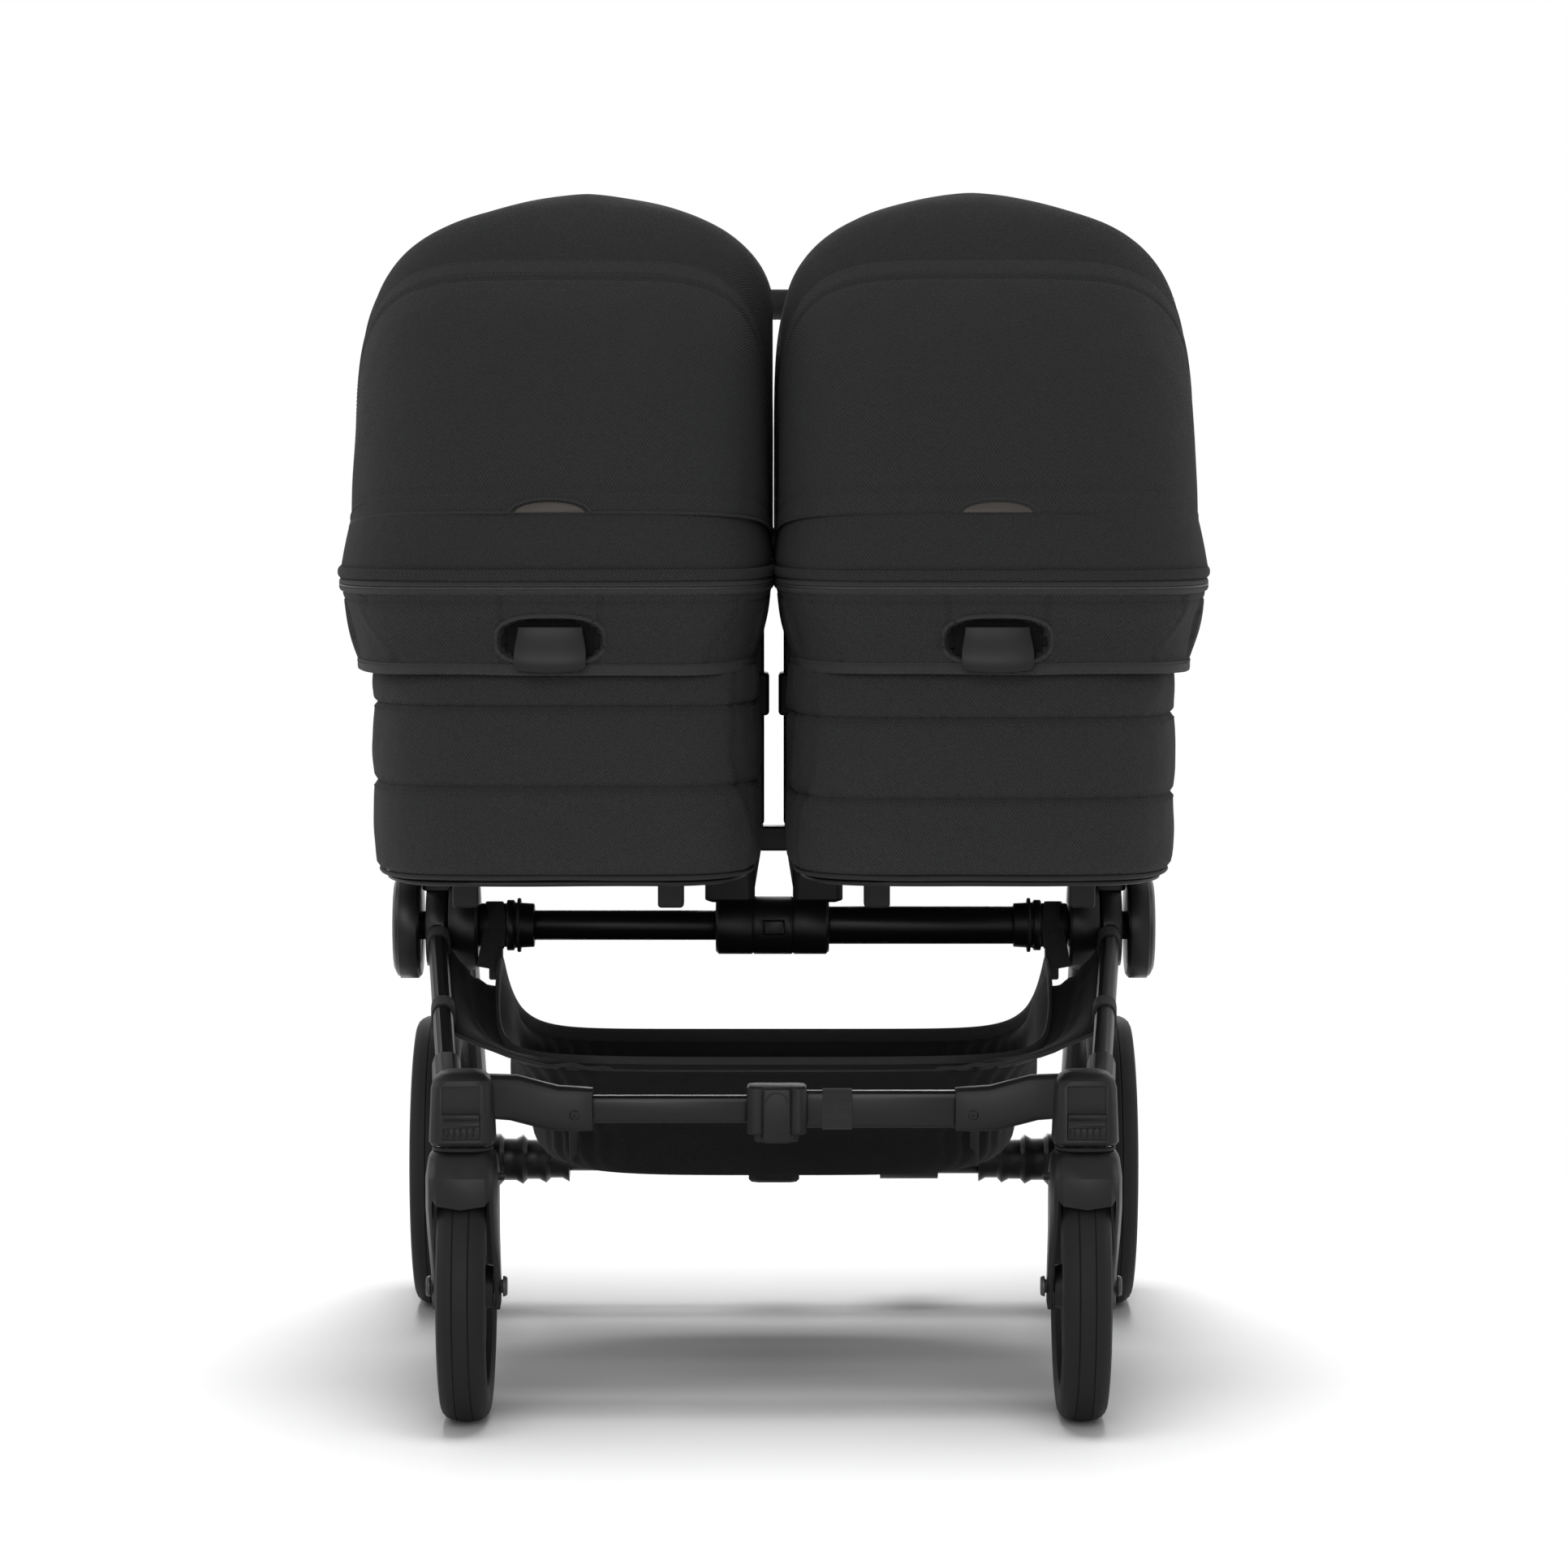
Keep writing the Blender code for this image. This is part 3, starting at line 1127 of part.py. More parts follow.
def apron(label, side):
    """The cover over the foot half: one cloth sheet that domes up and comes down at the foot."""
    rings = []
    steps = 7
    last = COT_FOOT_Y - 0.010
    base = RIM_TOP_Z + GAP
    middle = (COT_NEAR_Y + COT_FOOT_Y) / 2
    half_y = (COT_FOOT_Y - COT_NEAR_Y) / 2 - 0.004
    for i in range(steps):
        share = i / (steps - 1)
        y = APRON_FRONT_Y + (last - APRON_FRONT_Y) * math.sin(math.pi / 2 * share)
        end = min(abs(y - middle) / half_y, 1)
        full = mixed_size(y, RIM_HALF, RIM_FOOT_HALF, -0.12, 0.16) - 0.004
        half = full * (1 - end ** COT_POWER) ** (1 / COT_POWER)
        shift = mixed_size(y, 0.0, RIM_FOOT_SHIFT, -0.12, 0.16)
        rise = APRON_T + APRON_RISE * (1 - share ** 3)
        outer = []
        inner = []
        count = 9
        for j in range(count):
            t = math.pi * j / (count - 1)
            across = rounded(math.cos(t), 2.6)
            up = math.sin(t) ** (2 / 2.6)
            outer.append((side * (COT_X - shift + half * across), y, base + rise * up))
            inside = COT_X - shift + (half - APRON_T) * across
            inner.append((side * inside, y, base + (rise - APRON_T) * up))
        rings.append(outer + inner[::-1])
    node(loft(rings), "apron_" + label, "fabric", sharp=60)


def build():
    wheels()
    for label, side in SIDES:
        fork(label, side)
        front_axle(label, side)
        caster_housing(label, side)
        swivel_lock(label, side)
        front_bar(label, side)
        axle_tube(label, side)
        hub_collar(label, side)
        front_leg(label, side)
        rear_leg(label, side)
        rear_beam(label, side)
        handle_tube(label, side)
        height_clamp(label, side)
        seat_adapter(label, side)
        carrycot(label, side)
        mattress(label, side)
        release_flap(label, side)
        hood_back(label, side)
        hood_top(label, side)
        hood_bow(label, side)
        hood_band(label, side)
        apron(label, side)
    front_bar_clamp()
    centre_hub()
    rear_clamp()
    brake_pedal()
    handlebar_upper()
    centre_bracket()
    basket()


build()
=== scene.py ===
"""Looks of the twin pram: materials, cloth, straps, tyres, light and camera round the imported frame."""
from math import asin, atan2, copysign, cos, exp, pi, radians, sin, sqrt
import bpy
import bmesh
import numpy as np
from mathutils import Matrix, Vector, noise

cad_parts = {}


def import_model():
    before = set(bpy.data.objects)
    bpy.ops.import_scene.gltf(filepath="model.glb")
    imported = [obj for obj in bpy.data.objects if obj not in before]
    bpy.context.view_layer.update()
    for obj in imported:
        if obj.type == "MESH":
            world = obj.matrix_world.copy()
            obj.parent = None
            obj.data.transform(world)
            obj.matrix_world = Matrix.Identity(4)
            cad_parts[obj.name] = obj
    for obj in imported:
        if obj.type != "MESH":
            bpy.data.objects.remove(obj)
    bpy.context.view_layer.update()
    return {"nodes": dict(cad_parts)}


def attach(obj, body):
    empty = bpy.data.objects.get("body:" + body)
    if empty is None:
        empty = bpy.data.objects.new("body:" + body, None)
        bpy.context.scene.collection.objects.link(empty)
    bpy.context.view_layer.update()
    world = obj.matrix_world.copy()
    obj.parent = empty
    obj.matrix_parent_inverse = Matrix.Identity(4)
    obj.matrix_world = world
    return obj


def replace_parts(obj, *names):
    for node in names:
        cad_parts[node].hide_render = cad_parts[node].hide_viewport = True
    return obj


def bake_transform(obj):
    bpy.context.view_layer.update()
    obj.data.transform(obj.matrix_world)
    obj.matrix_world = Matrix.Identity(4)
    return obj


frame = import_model()
NODES = frame["nodes"]
SCENE = bpy.context.scene
SIDES = (("left", -1), ("right", 1))
WAYS = (("in", -1), ("out", 1))
UP = (0, 0, 1)

# Sizes in metres and angles in degrees; each X is a distance from the middle, mirrored by side
HUB_Y, HUB_Z = -0.038, 0.421
COT_X, COT_NEAR_Y, COT_FOOT_Y, COT_POWER = 0.2005, -0.498, 0.3, 6.0
# Half-widths at head and foot, shifts to the middle there, and where along Y they change over
RIM_PLAN = (0.198, 0.168), (0.0, 0.011), (-0.12, 0.16)
BODY_PLAN = (0.1795, 0.138), (0.0095, 0.0145), (-0.36, -0.09)
BODY_INSET, NEAR_FACE = 0.026, -0.4
RIM_Z, TEETH_Z, SKIRT_TOP, SKIRT_LOW, HEM_Z = 0.783, 0.7674, 0.7617, 0.693, 0.69
BODY_TOP, BODY_LOW = 0.694, 0.512
FLAP_Z, FLAP_POWER, LIP_X, LIP_Z, POCKET_X, POCKET_Z = 0.7205, 2.8, 0.049, 0.0218, 0.048, 0.021
PIVOT_Y, PIVOT_Z, PIVOT_R = -0.198, 0.8, 0.01
HOOD_X, BAND_TOP_Z = 0.1983, 0.8465
BACK_R, BACK_HALF, BACK_POWER, BACK_FROM, BACK_TO = 0.29, 0.1935, 4.8, 6.6, 65.0
BACK_SHIFT, FACING = 0.0036, 0.9
TOP_R = 0.3255
TOP_LEAN, TOP_SPREAD = {"left": 0.0225, "right": 0.011}, {"left": 0.001, "right": -0.005}
BOW_ANGLE, BOW_HALF, BOW_POWERS = 108.5, 0.1968, (1.5, 7.5)
HOODS_APART = 0.001
FRONT_R, FRONT_W, REAR_R, REAR_W = 0.1235, 0.045, 0.15, 0.049
SWIVEL_X, SWIVEL_Y, FRONT_AXLE_Y, REAR_X, REAR_AXLE_Y = 0.282, -0.463, -0.408, 0.345, 0.245
TYRE_DEPTH = 0.03
BASKET_FRONT, BASKET_BACK, BASKET_FLOOR, BASKET_POWER = -0.28, 0.172, 0.206, 3.8
BAR_Y, BAR_Z = -0.44, 0.2915
LEG_START, LEG_END = Vector((0.3305, HUB_Y, HUB_Z)), Vector((0.296, -0.445, 0.304))
GRIP_Y, GRIP_Z = 0.5205, 1.0391


# Node material tools

def node(tree, kind, **values):
    """A new node in a tree, with its sockets and settings given by name."""
    made = tree.nodes.new(kind)
    for key, value in values.items():
        if key in made.inputs:
            made.inputs[key].default_value = value
        else:
            setattr(made, key, value)
    return made


class Shader:
    """A Principled material under construction."""

    def __init__(self, name, colour, roughness, metallic=0.0, sheen=0.0, specular=0.5):
        self.material = bpy.data.materials.new(name)
        self.material.use_nodes = True
        self.tree = self.material.node_tree
        self.bsdf = self.tree.nodes["Principled BSDF"]
        self.colour = colour
        self.bump_out = None
        for socket, value in (
                ("Base Color", (*colour, 1)), ("Roughness", roughness), ("Metallic", metallic),
                ("Sheen Weight", sheen), ("Sheen Roughness", 0.45), ("Specular IOR Level", specular)):
            self.bsdf.inputs[socket].default_value = value

    def add(self, kind, **values):
        return node(self.tree, kind, **values)

    def link(self, a, b):
        self.tree.links.new(a, b)

    def math(self, operation, a, b=0.0):
        made = self.add("ShaderNodeMath", operation=operation)
        for socket, value in zip(made.inputs, (a, b)):
            if isinstance(value, (int, float)):
                socket.default_value = value
            else:
                self.link(value, socket)
        return made.outputs[0]

    def weigh(self, a, a_share, b, b_share):
        """a and b added up, each times its share."""
        return self.math("ADD", self.math("MULTIPLY", a, a_share), self.math("MULTIPLY", b, b_share))

    def place(self, space="Object", scale=(1, 1, 1), turn=0.0):
        mapping = self.add("ShaderNodeMapping", Scale=scale, Rotation=(0, 0, radians(turn)))
        self.link(self.add("ShaderNodeTexCoord").outputs[space], mapping.inputs["Vector"])
        return mapping.outputs[0]

    def noise(self, scale, detail=3.0, where=None):
        made = self.add("ShaderNodeTexNoise", Scale=scale, Detail=detail)
        self.link(where or self.place(), made.inputs["Vector"])
        return made.outputs["Fac"]

    def wave(self, where, pitch, distortion=0.0):
        """Bands along X of the given coordinates, one for each pitch in metres."""
        made = self.add("ShaderNodeTexWave", Scale=0.31416 / pitch, Distortion=distortion, wave_type="BANDS")
        self.link(where, made.inputs["Vector"])
        return made.outputs["Fac"]

    def bump(self, height, distance, strength=1.0):
        made = self.add("ShaderNodeBump", Distance=distance, Strength=strength)
        self.link(height, made.inputs["Height"])
        if self.bump_out:
            self.link(self.bump_out, made.inputs["Normal"])
        self.bump_out = made.outputs[0]
        self.link(self.bump_out, self.bsdf.inputs["Normal"])

    def vary(self, factor, low, high):
        """Base colour between low and high times the colour, by factor."""
        dark, light = ((*[c * share for c in self.colour], 1) for share in (low, high))
        made = self.add("ShaderNodeMix", data_type="RGBA", A=dark, B=light)
        self.link(factor, made.inputs["Factor"])
        self.link(made.outputs["Result"], self.bsdf.inputs["Base Color"])

    def rough(self, factor, low, high):
        made = self.add("ShaderNodeMapRange", **{"To Min": low, "To Max": high})
        self.link(factor, made.inputs["Value"])
        self.link(made.outputs[0], self.bsdf.inputs["Roughness"])


def cloth(name, colour, pitch=0.0024, bump=0.0008, low=0.25, high=2.0):
    """Twill: fat diagonal ribs crossed by fine weft, from the piece's own UV in metres."""
    made = Shader(name, colour, 0.88, sheen=0.03, specular=0.16)
    ribs = made.wave(made.place("UV", turn=38), pitch, 0.35)
    weft = made.wave(made.place("UV", turn=-52), pitch * 0.62, 0.35)
    weave = made.weigh(ribs, 0.65, weft, 0.35)
    grain = made.noise(55.0, 4.0)
    tone = made.weigh(weave, 0.55, made.noise(430.0, 2.0), 0.5)
    made.vary(made.math("ADD", tone, made.math("MULTIPLY", grain, 0.12)), low, high)
    made.rough(grain, 0.8, 0.96)
    made.bump(weave, bump)
    made.bump(made.noise(26.0, 2.0), 0.0012, 0.5)
    return made.material


def ribbed(name, colour, pitch, bump=0.0004, roughness=0.75):
    """Webbing or tape: fine ribs across its length."""
    made = Shader(name, colour, roughness, sheen=0.04, specular=0.3)
    ribs = made.wave(made.place("UV"), pitch, 0.1)
    fine = made.wave(made.place("UV", turn=90), pitch * 0.7, 0.1)
    both = made.weigh(ribs, 0.7, fine, 0.3)
    made.vary(made.weigh(both, 0.7, made.noise(70.0), 0.4), 0.7, 1.5)
    made.bump(both, bump)
    return made.material


def moulded(name, colour, roughness, grain=900.0, depth=0.00006):
    """Moulded plastic: a fine grain over broad, faint unevenness."""
    made = Shader(name, colour, roughness, specular=0.22)
    broad = made.noise(14.0, 3.0)
    made.vary(broad, 0.85, 1.2)
    made.rough(broad, roughness - 0.06, roughness + 0.08)
    made.bump(made.noise(grain, 2.0), depth, 0.7)
    made.bump(broad, 0.0004, 0.3)
    return made.material


def anodised(name, colour, roughness=0.34):
    """Anodised metal, drawn along its own X."""
    made = Shader(name, colour, roughness, metallic=0.2, specular=0.24)
    drawn = made.noise(40.0, 5.0, made.place("Object", (1.0, 18.0, 18.0)))
    made.vary(drawn, 0.85, 1.25)
    made.rough(drawn, roughness - 0.05, roughness + 0.07)
    made.bump(made.noise(1400.0, 2.0), 0.00003, 0.6)
    return made.material


def rubber(name, colour):
    """Rubber with a little dust in its grain."""
    made = Shader(name, colour, 0.66, specular=0.2)
    dust = made.noise(30.0, 6.0)
    made.vary(dust, 0.8, 1.3)
    made.rough(dust, 0.58, 0.76)
    made.bump(made.noise(700.0, 3.0), 0.00008, 0.8)
    return made.material


def mesh_pad(name, colour):
    """A spacer knit of small cells."""
    made = Shader(name, colour, 0.9, sheen=0.3)
    cells = made.add("ShaderNodeTexVoronoi", Scale=330.0)
    made.link(made.place("UV"), cells.inputs["Vector"])
    made.vary(cells.outputs["Distance"], 1.4, 0.7)
    made.bump(cells.outputs["Distance"], 0.0005)
    made.bump(made.noise(35.0), 0.0008, 0.4)
    return made.material


CLOTH = cloth("black_twill", (0.0265, 0.0267, 0.0272))
BINDING = ribbed("binding_tape", (0.017, 0.017, 0.0176), 0.0012)
NYLON = cloth("basket_nylon", (0.007, 0.007, 0.0073), pitch=0.0013, bump=0.0002, low=0.8, high=1.3)
WEBBING = ribbed("webbing", (0.019, 0.019, 0.0196), 0.0016, bump=0.0006)
ZIP = ribbed("zip_teeth", (0.055, 0.055, 0.056), 0.0024, bump=0.0012, roughness=0.45)
ZIP_TAPE = ribbed("zip_tape", (0.03, 0.03, 0.0308), 0.0014, bump=0.0006)
LINING = cloth("lining", (0.024, 0.0242, 0.025), pitch=0.0012, bump=0.0002)
PAD = mesh_pad("pad_knit", (0.05, 0.0505, 0.053))
PLASTIC = moulded("moulded_black", (0.0085, 0.0085, 0.0088), 0.5)
SATIN = moulded("satin_black", (0.0062, 0.0062, 0.0065), 0.42, 1400.0, 0.00003)
TUBE = anodised("anodised_tube", (0.009, 0.009, 0.0093))
STEEL = anodised("dark_steel", (0.06, 0.06, 0.063))
RUBBER = rubber("tyre_rubber", (0.0068, 0.0068, 0.007))
GRIP = rubber("grip_cover", (0.013, 0.013, 0.0133))
TAG = moulded("plain_tab", (0.056, 0.048, 0.042), 0.5, 500.0)
THREAD = moulded("thread", (0.026, 0.026, 0.0268), 0.6, 2500.0)


# Mesh tools

def rounded(value, power):
    """A cosine or sine bent so that a circle turns into a squared one."""
    return copysign(abs(value) ** (2 / power), value)


def smooth(share):
    share = min(max(share, 0.0), 1.0)
    return share * share * (3 - 2 * share)


def mix(a, b, share):
    return a + (b - a) * share


def shares(count):
    """count even shares from 0 to 1."""
    return [i / (count - 1) for i in range(count)]


def bell(value, middle, width):
    """1 at the middle, falling to almost nothing two widths away."""
    return exp(-((value - middle) / width) ** 2)


def oval(count, power, first=0.0):
    """Places round a circle of radius 1, squared by its power."""
    for i in range(count):
        angle = 2 * pi * (i + first) / count
        yield rounded(cos(angle), power), rounded(sin(angle), power)


def resample(points, count, closed=False):
    """count points at even steps along a line of points."""
    pts = np.array([tuple(p) for p in points], float)
    if closed:
        pts = np.vstack([pts, pts[:1]])
    steps = np.linalg.norm(np.diff(pts, axis=0), axis=1)
    at = np.concatenate([[0], np.cumsum(steps)])
    wanted = np.linspace(0, at[-1], count + 1)[:-1] if closed else np.linspace(0, at[-1], count)
    return np.stack([np.interp(wanted, at, pts[:, k]) for k in range(3)], axis=1)


def heal(mesh, weld=True):
    """Turns a mesh's faces outward and, with weld, joins its doubled seam."""
    work = bmesh.new()
    work.from_mesh(mesh)
    if weld:
        bmesh.ops.remove_doubles(work, verts=work.verts, dist=1e-6)
    bmesh.ops.recalc_face_normals(work, faces=work.faces)
    work.to_mesh(mesh)
    work.free()


def ease(obj, width, segments, angle):
    """A bevel on the edges that are sharper than an angle."""
    bevel = obj.modifiers.new("ease", "BEVEL")
    bevel.width = width
    bevel.segments = segments
    bevel.limit_method = "ANGLE"
    bevel.angle_limit = radians(angle)
    bevel.harden_normals = True


def finish_mesh(name, mesh, material, body, sharp=50):
    """An object of a mesh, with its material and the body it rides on."""
    obj = bpy.data.objects.new(name, mesh)
    SCENE.collection.objects.link(obj)
    mesh.materials.append(material)
    mesh.shade_smooth()
    mesh.set_sharp_from_angle(angle=radians(sharp))
    if body:
        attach(obj, body)
    return obj


def skin(name, rows, material, body, thick=0.0, closed=False, ends=False, sharp=60, offset=-1.0):
    """A sheet through rows of points, with UV in metres; closed joins each row's end to its start."""
    grid = np.array([[tuple(p) for p in row] for row in rows], float)
    n, m = grid.shape[:2]
    cols = m + 1 if closed else m
    ring = np.concatenate([grid, grid[:, :1]], axis=1) if closed else grid
    steps = np.linalg.norm(np.diff(ring, axis=1), axis=2)
    across = np.concatenate([np.zeros((n, 1)), np.cumsum(steps, axis=1)], axis=1)
    across = across - across[:, cols // 2:cols // 2 + 1]
    down = np.zeros((n, cols))
    down[1:] = np.cumsum(np.linalg.norm(np.diff(ring, axis=0), axis=2), axis=0)
    down = np.repeat(np.median(down, axis=1)[:, None], cols, axis=1)
    across = np.repeat(across[n // 2][None], n, axis=0)
    faces = []
    uvs = []
    for i in range(n - 1):
        for j in range(cols - 1):
            k = (j + 1) % m
            faces.append((i * m + j, i * m + k, (i + 1) * m + k, (i + 1) * m + j))
            for a, b in ((i, j), (i, j + 1), (i + 1, j + 1), (i + 1, j)):
                uvs += [across[a, b], down[a, b]]
    if ends:
        for i in (0, n - 1):
            faces.append(tuple(range(i * m, i * m + m)))
            uvs += list(grid[i, :, :2].ravel())
    mesh = bpy.data.meshes.new(name)
    mesh.from_pydata([tuple(p) for p in grid.reshape(-1, 3)], [], faces)
    mesh.uv_layers.new(name="UVMap").data.foreach_set("uv", uvs)
    if closed and ends:
        heal(mesh, weld=False)
    obj = finish_mesh(name, mesh, material, body, sharp)
    if thick:
        wall = obj.modifiers.new("wall", "SOLIDIFY")
        wall.thickness = thick
        wall.offset = offset
        wall.use_even_offset = False
    return obj


def strip(name, path, half_w, half_t, material, body, closed=False, up=None, power=2.2, count=10):
    """A tube, piping or strap along a path: an oval section, half_w across the path and half_t along up."""
    pts = [Vector(p) for p in path]
    n = len(pts)
    rows = []
    side = None
    for i, p in enumerate(pts):
        if closed:
            ahead = (pts[(i + 1) % n] - pts[i - 1]).normalized()
        else:
            ahead = (pts[min(i + 1, n - 1)] - pts[max(i - 1, 0)]).normalized()
        if up is not None:
            lift = Vector(up(p) if callable(up) else up)
            side = lift.cross(ahead).normalized()
        elif side is None:
            start = Vector(UP) if abs(ahead.z) < 0.9 else Vector((1, 0, 0))
            side = start.cross(ahead).normalized()
        else:
            side = (side - ahead * side.dot(ahead)).normalized()
        lift = ahead.cross(side)
        rows.append([p + side * half_w * a + lift * half_t * b for a, b in oval(count, power, 0.5)])
    if closed:
        rows.append(rows[0])
    made = skin(name, rows, material, body, closed=True, ends=not closed, sharp=70)
    if closed:
        heal(made.data)
    return made


def lathe(name, profile, centre, material, body, axis="X", steps=64, closed=True, sharp=40):
    """A turned piece from (place along the axis, radius) points round a centre."""
    rows = []
    for along, radius in profile:
        ring = [(radius * a, radius * b) for a, b in oval(steps, 2)]
        rows.append([Vector(centre) + Vector((along, a, b) if axis == "X" else (a, along, b)) for a, b in ring])
    if closed:
        rows.append(rows[0])
    made = skin(name, rows, material, body, closed=True, ends=not closed, sharp=sharp)
    heal(made.data)
    return made


def solid(name, rings, material, body, bevel=0.0, sharp=35):
    """A closed body through rings of points, its edges eased by a bevel."""
    made = skin(name, rings, material, body, closed=True, ends=True, sharp=sharp)
    if bevel:
        ease(made, bevel, 3, 35)
    return made


def stitches(name, path, out, body, pitch=0.0042, size=0.00042):
    """A row of short thread stitches along a path, lying on the cloth that faces out."""
    length = sum((Vector(b) - Vector(a)).length for a, b in zip(path, path[1:]))
    line = [Vector(p) for p in resample(path, int(length / pitch) * 4 + 1)]
    verts = []
    faces = []
    for i in range(0, len(line) - 3, 4):
        a, b = line[i], line[i + 2]
        lift = Vector(out((a + b) / 2))
        across = (b - a).normalized().cross(lift).normalized()
        wide, deep = across * size, lift * size
        first = len(verts)
        for p, high in ((a, -0.2), (mix(a, b, 0.3), 1.0), (mix(a, b, 0.7), 1.0), (b, -0.2)):
            top = p + lift * size * high
            verts += [top - wide, top + wide, top + wide - deep, top - wide - deep]
        for k in range(first, first + 12, 4):
            for m in range(4):
                n = (m + 1) % 4
                faces.append((k + m, k + n, k + 4 + n, k + 4 + m))
        faces += [(first + 3, first + 2, first + 1, first), (first + 12, first + 13, first + 14, first + 15)]
    mesh = bpy.data.meshes.new(name)
    mesh.from_pydata([tuple(v) for v in verts], [], faces)
    finish_mesh(name, mesh, THREAD, body)


def box_solid(name, x, y, z, material, body, bevel):
    """A block between two places along each axis."""
    (x0, x1), (y0, y1) = sorted(x), y
    rings = [[(x0, y0, level), (x1, y0, level), (x1, y1, level), (x0, y1, level)] for level in z]
    solid(name, rings, material, body, bevel)


def paint(node_name, material):
    """A CAD piece's own material, with its round faces smooth and its edges eased."""
    obj = NODES[node_name]
    obj.data.materials.clear()
    obj.data.materials.append(material)
    obj.data.shade_smooth()
    obj.modifiers.new("weld", "WELD").merge_threshold = 0.00002
    ease(obj, 0.0009, 2, 32)


# Outlines of the carrycots, mirrored by side

def tapered(y, ends, span):
    """From the head's value to the foot's, changing over a span of Y."""
    return mix(*ends, smooth((y - span[0]) / (span[1] - span[0])))


def outline(side, z, inset=0.0, lower=False, count=240):
    """One level round a carrycot, starting at the foot end's outer corner: rim and skirt, or lower body."""
    halves, shifts, span = BODY_PLAN if lower else RIM_PLAN
    within = BODY_INSET if lower else 0.0
    near, foot = COT_NEAR_Y + within, COT_FOOT_Y - within
    middle, half_y = (near + foot) / 2, (foot - near) / 2 - inset
    points = []
    for a, b in oval(720, COT_POWER, 0.5):
        y = middle + half_y * b
        half = tapered(y, halves, span) - inset
        points.append((side * (COT_X - tapered(y, shifts, span) + half * a), y, z))
    return resample(points, count, closed=True)


def outward(ring):
    """Unit vectors out of a level ring."""
    ahead = np.roll(ring, -1, axis=0) - np.roll(ring, 1, axis=0)
    normal = np.stack([ahead[:, 1], -ahead[:, 0], np.zeros(len(ring))], axis=1)
    normal /= np.linalg.norm(normal, axis=1)[:, None]
    centre = ring.mean(axis=0)
    if np.sum((ring - centre) * normal) < 0:
        normal = -normal
    return normal


def ripple(point, scale, seed):
    """Smooth unevenness between about -1 and 1, fixed by its seed."""
    return noise.noise(Vector((point[0] * scale + seed, point[1] * scale, point[2] * scale)))


def waved(ring, size, scale, seed):
    """A ring of points moved up and down by ripples."""
    ring[:, 2] += [size * ripple(p, scale, seed) for p in ring]
    return ring


# Hoods

def hood_point(side, x, out, turn):
    """A place at a distance out from the pivots' axis, turned up from the near side."""
    return side * x, PIVOT_Y - out * cos(turn), PIVOT_Z + out * sin(turn)


def arch(side, angle, radius, half, powers, shift=0.0):
    """One hood arch at an angle about the pivots; the two powers square it across and outward."""
    turn = radians(angle)
    first = asin((PIVOT_R / radius) ** (powers[1] / 2))
    points = []
    for i in range(181):
        t = first + (pi - 2 * first) * i / 180
        out = radius * sin(t) ** (2 / powers[1])
        across = half * rounded(cos(t), powers[0]) - shift * (out / radius) ** 1.6
        points.append(hood_point(side, HOOD_X + across, out, turn))
    return points


def back_arch(side, angle, grow=0.0):
    return arch(side, angle, BACK_R + grow, BACK_HALF + grow, (BACK_POWER, BACK_POWER), BACK_SHIFT)


def out_of_hood(side):
    """A function that gives the way out of a hood's cloth at a point."""
    return lambda p: Vector((0.6 * (p[0] - side * HOOD_X), p[1] - PIVOT_Y, p[2] - PIVOT_Z)).normalized()


def hood_back(label, side, cot):
    """The head end's cloth: a facing sewn round its arch, soft dents, and a hem that arches over a tab."""
    out = out_of_hood(side)
    count = 190
    rows = []
    for share in shares(64):
        line = resample(back_arch(side, mix(BACK_FROM, BACK_TO, share)), count)
        facing = 0.0005 * smooth((share - FACING) / 0.006)
        groove = -0.0028 * bell(share, FACING - 0.008, 0.009)
        hem = 0.0012 * smooth((0.075 - share) / 0.012) - 0.0008 * bell(share, 0.078, 0.008)
        row = []
        for j, p in enumerate(line):
            middle = sin(pi * share) * sin(pi * j / (count - 1)) ** 0.5
            sag = -0.0022 * middle ** 2
            wave = 0.003 * ripple(p, 9.0, 3.1 + side) + 0.0013 * ripple(p, 24.0, 7.7)
            crease = p[0] - side * HOOD_X - side * 0.055 - 0.35 * (p[2] - 0.86)
            dent = -0.003 * bell(crease, 0.0, 0.045) * bell(p[2], 0.905, 0.05)
            row.append(Vector(p) + out(p) * (sag + facing + groove + hem + (wave + dent) * middle))
        rows.append(row)
    back = skin("hood_back_cloth_" + label, rows, CLOTH, cot, 0.0016)
    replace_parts(back, "hood_back_" + label)
    for name, angle, grow, size in (("piping", BACK_TO, -0.0004, 0.0012), ("hem", BACK_FROM + 0.2, 0.0012, 0.0013)):
        line = resample(back_arch(side, angle, grow), 180)
        strip("hood_%s_%s" % (name, label), line, size, size * 1.15, BINDING, cot)
    for name, share, grow in (("facing", FACING + 0.022, 0.0004), ("hem", 0.058, 0.001)):
        line = back_arch(side, mix(BACK_FROM, BACK_TO, share), grow)
        stitches("hood_%s_stitches_%s" % (name, label), line, out, cot)
    tab(label, side, cot)


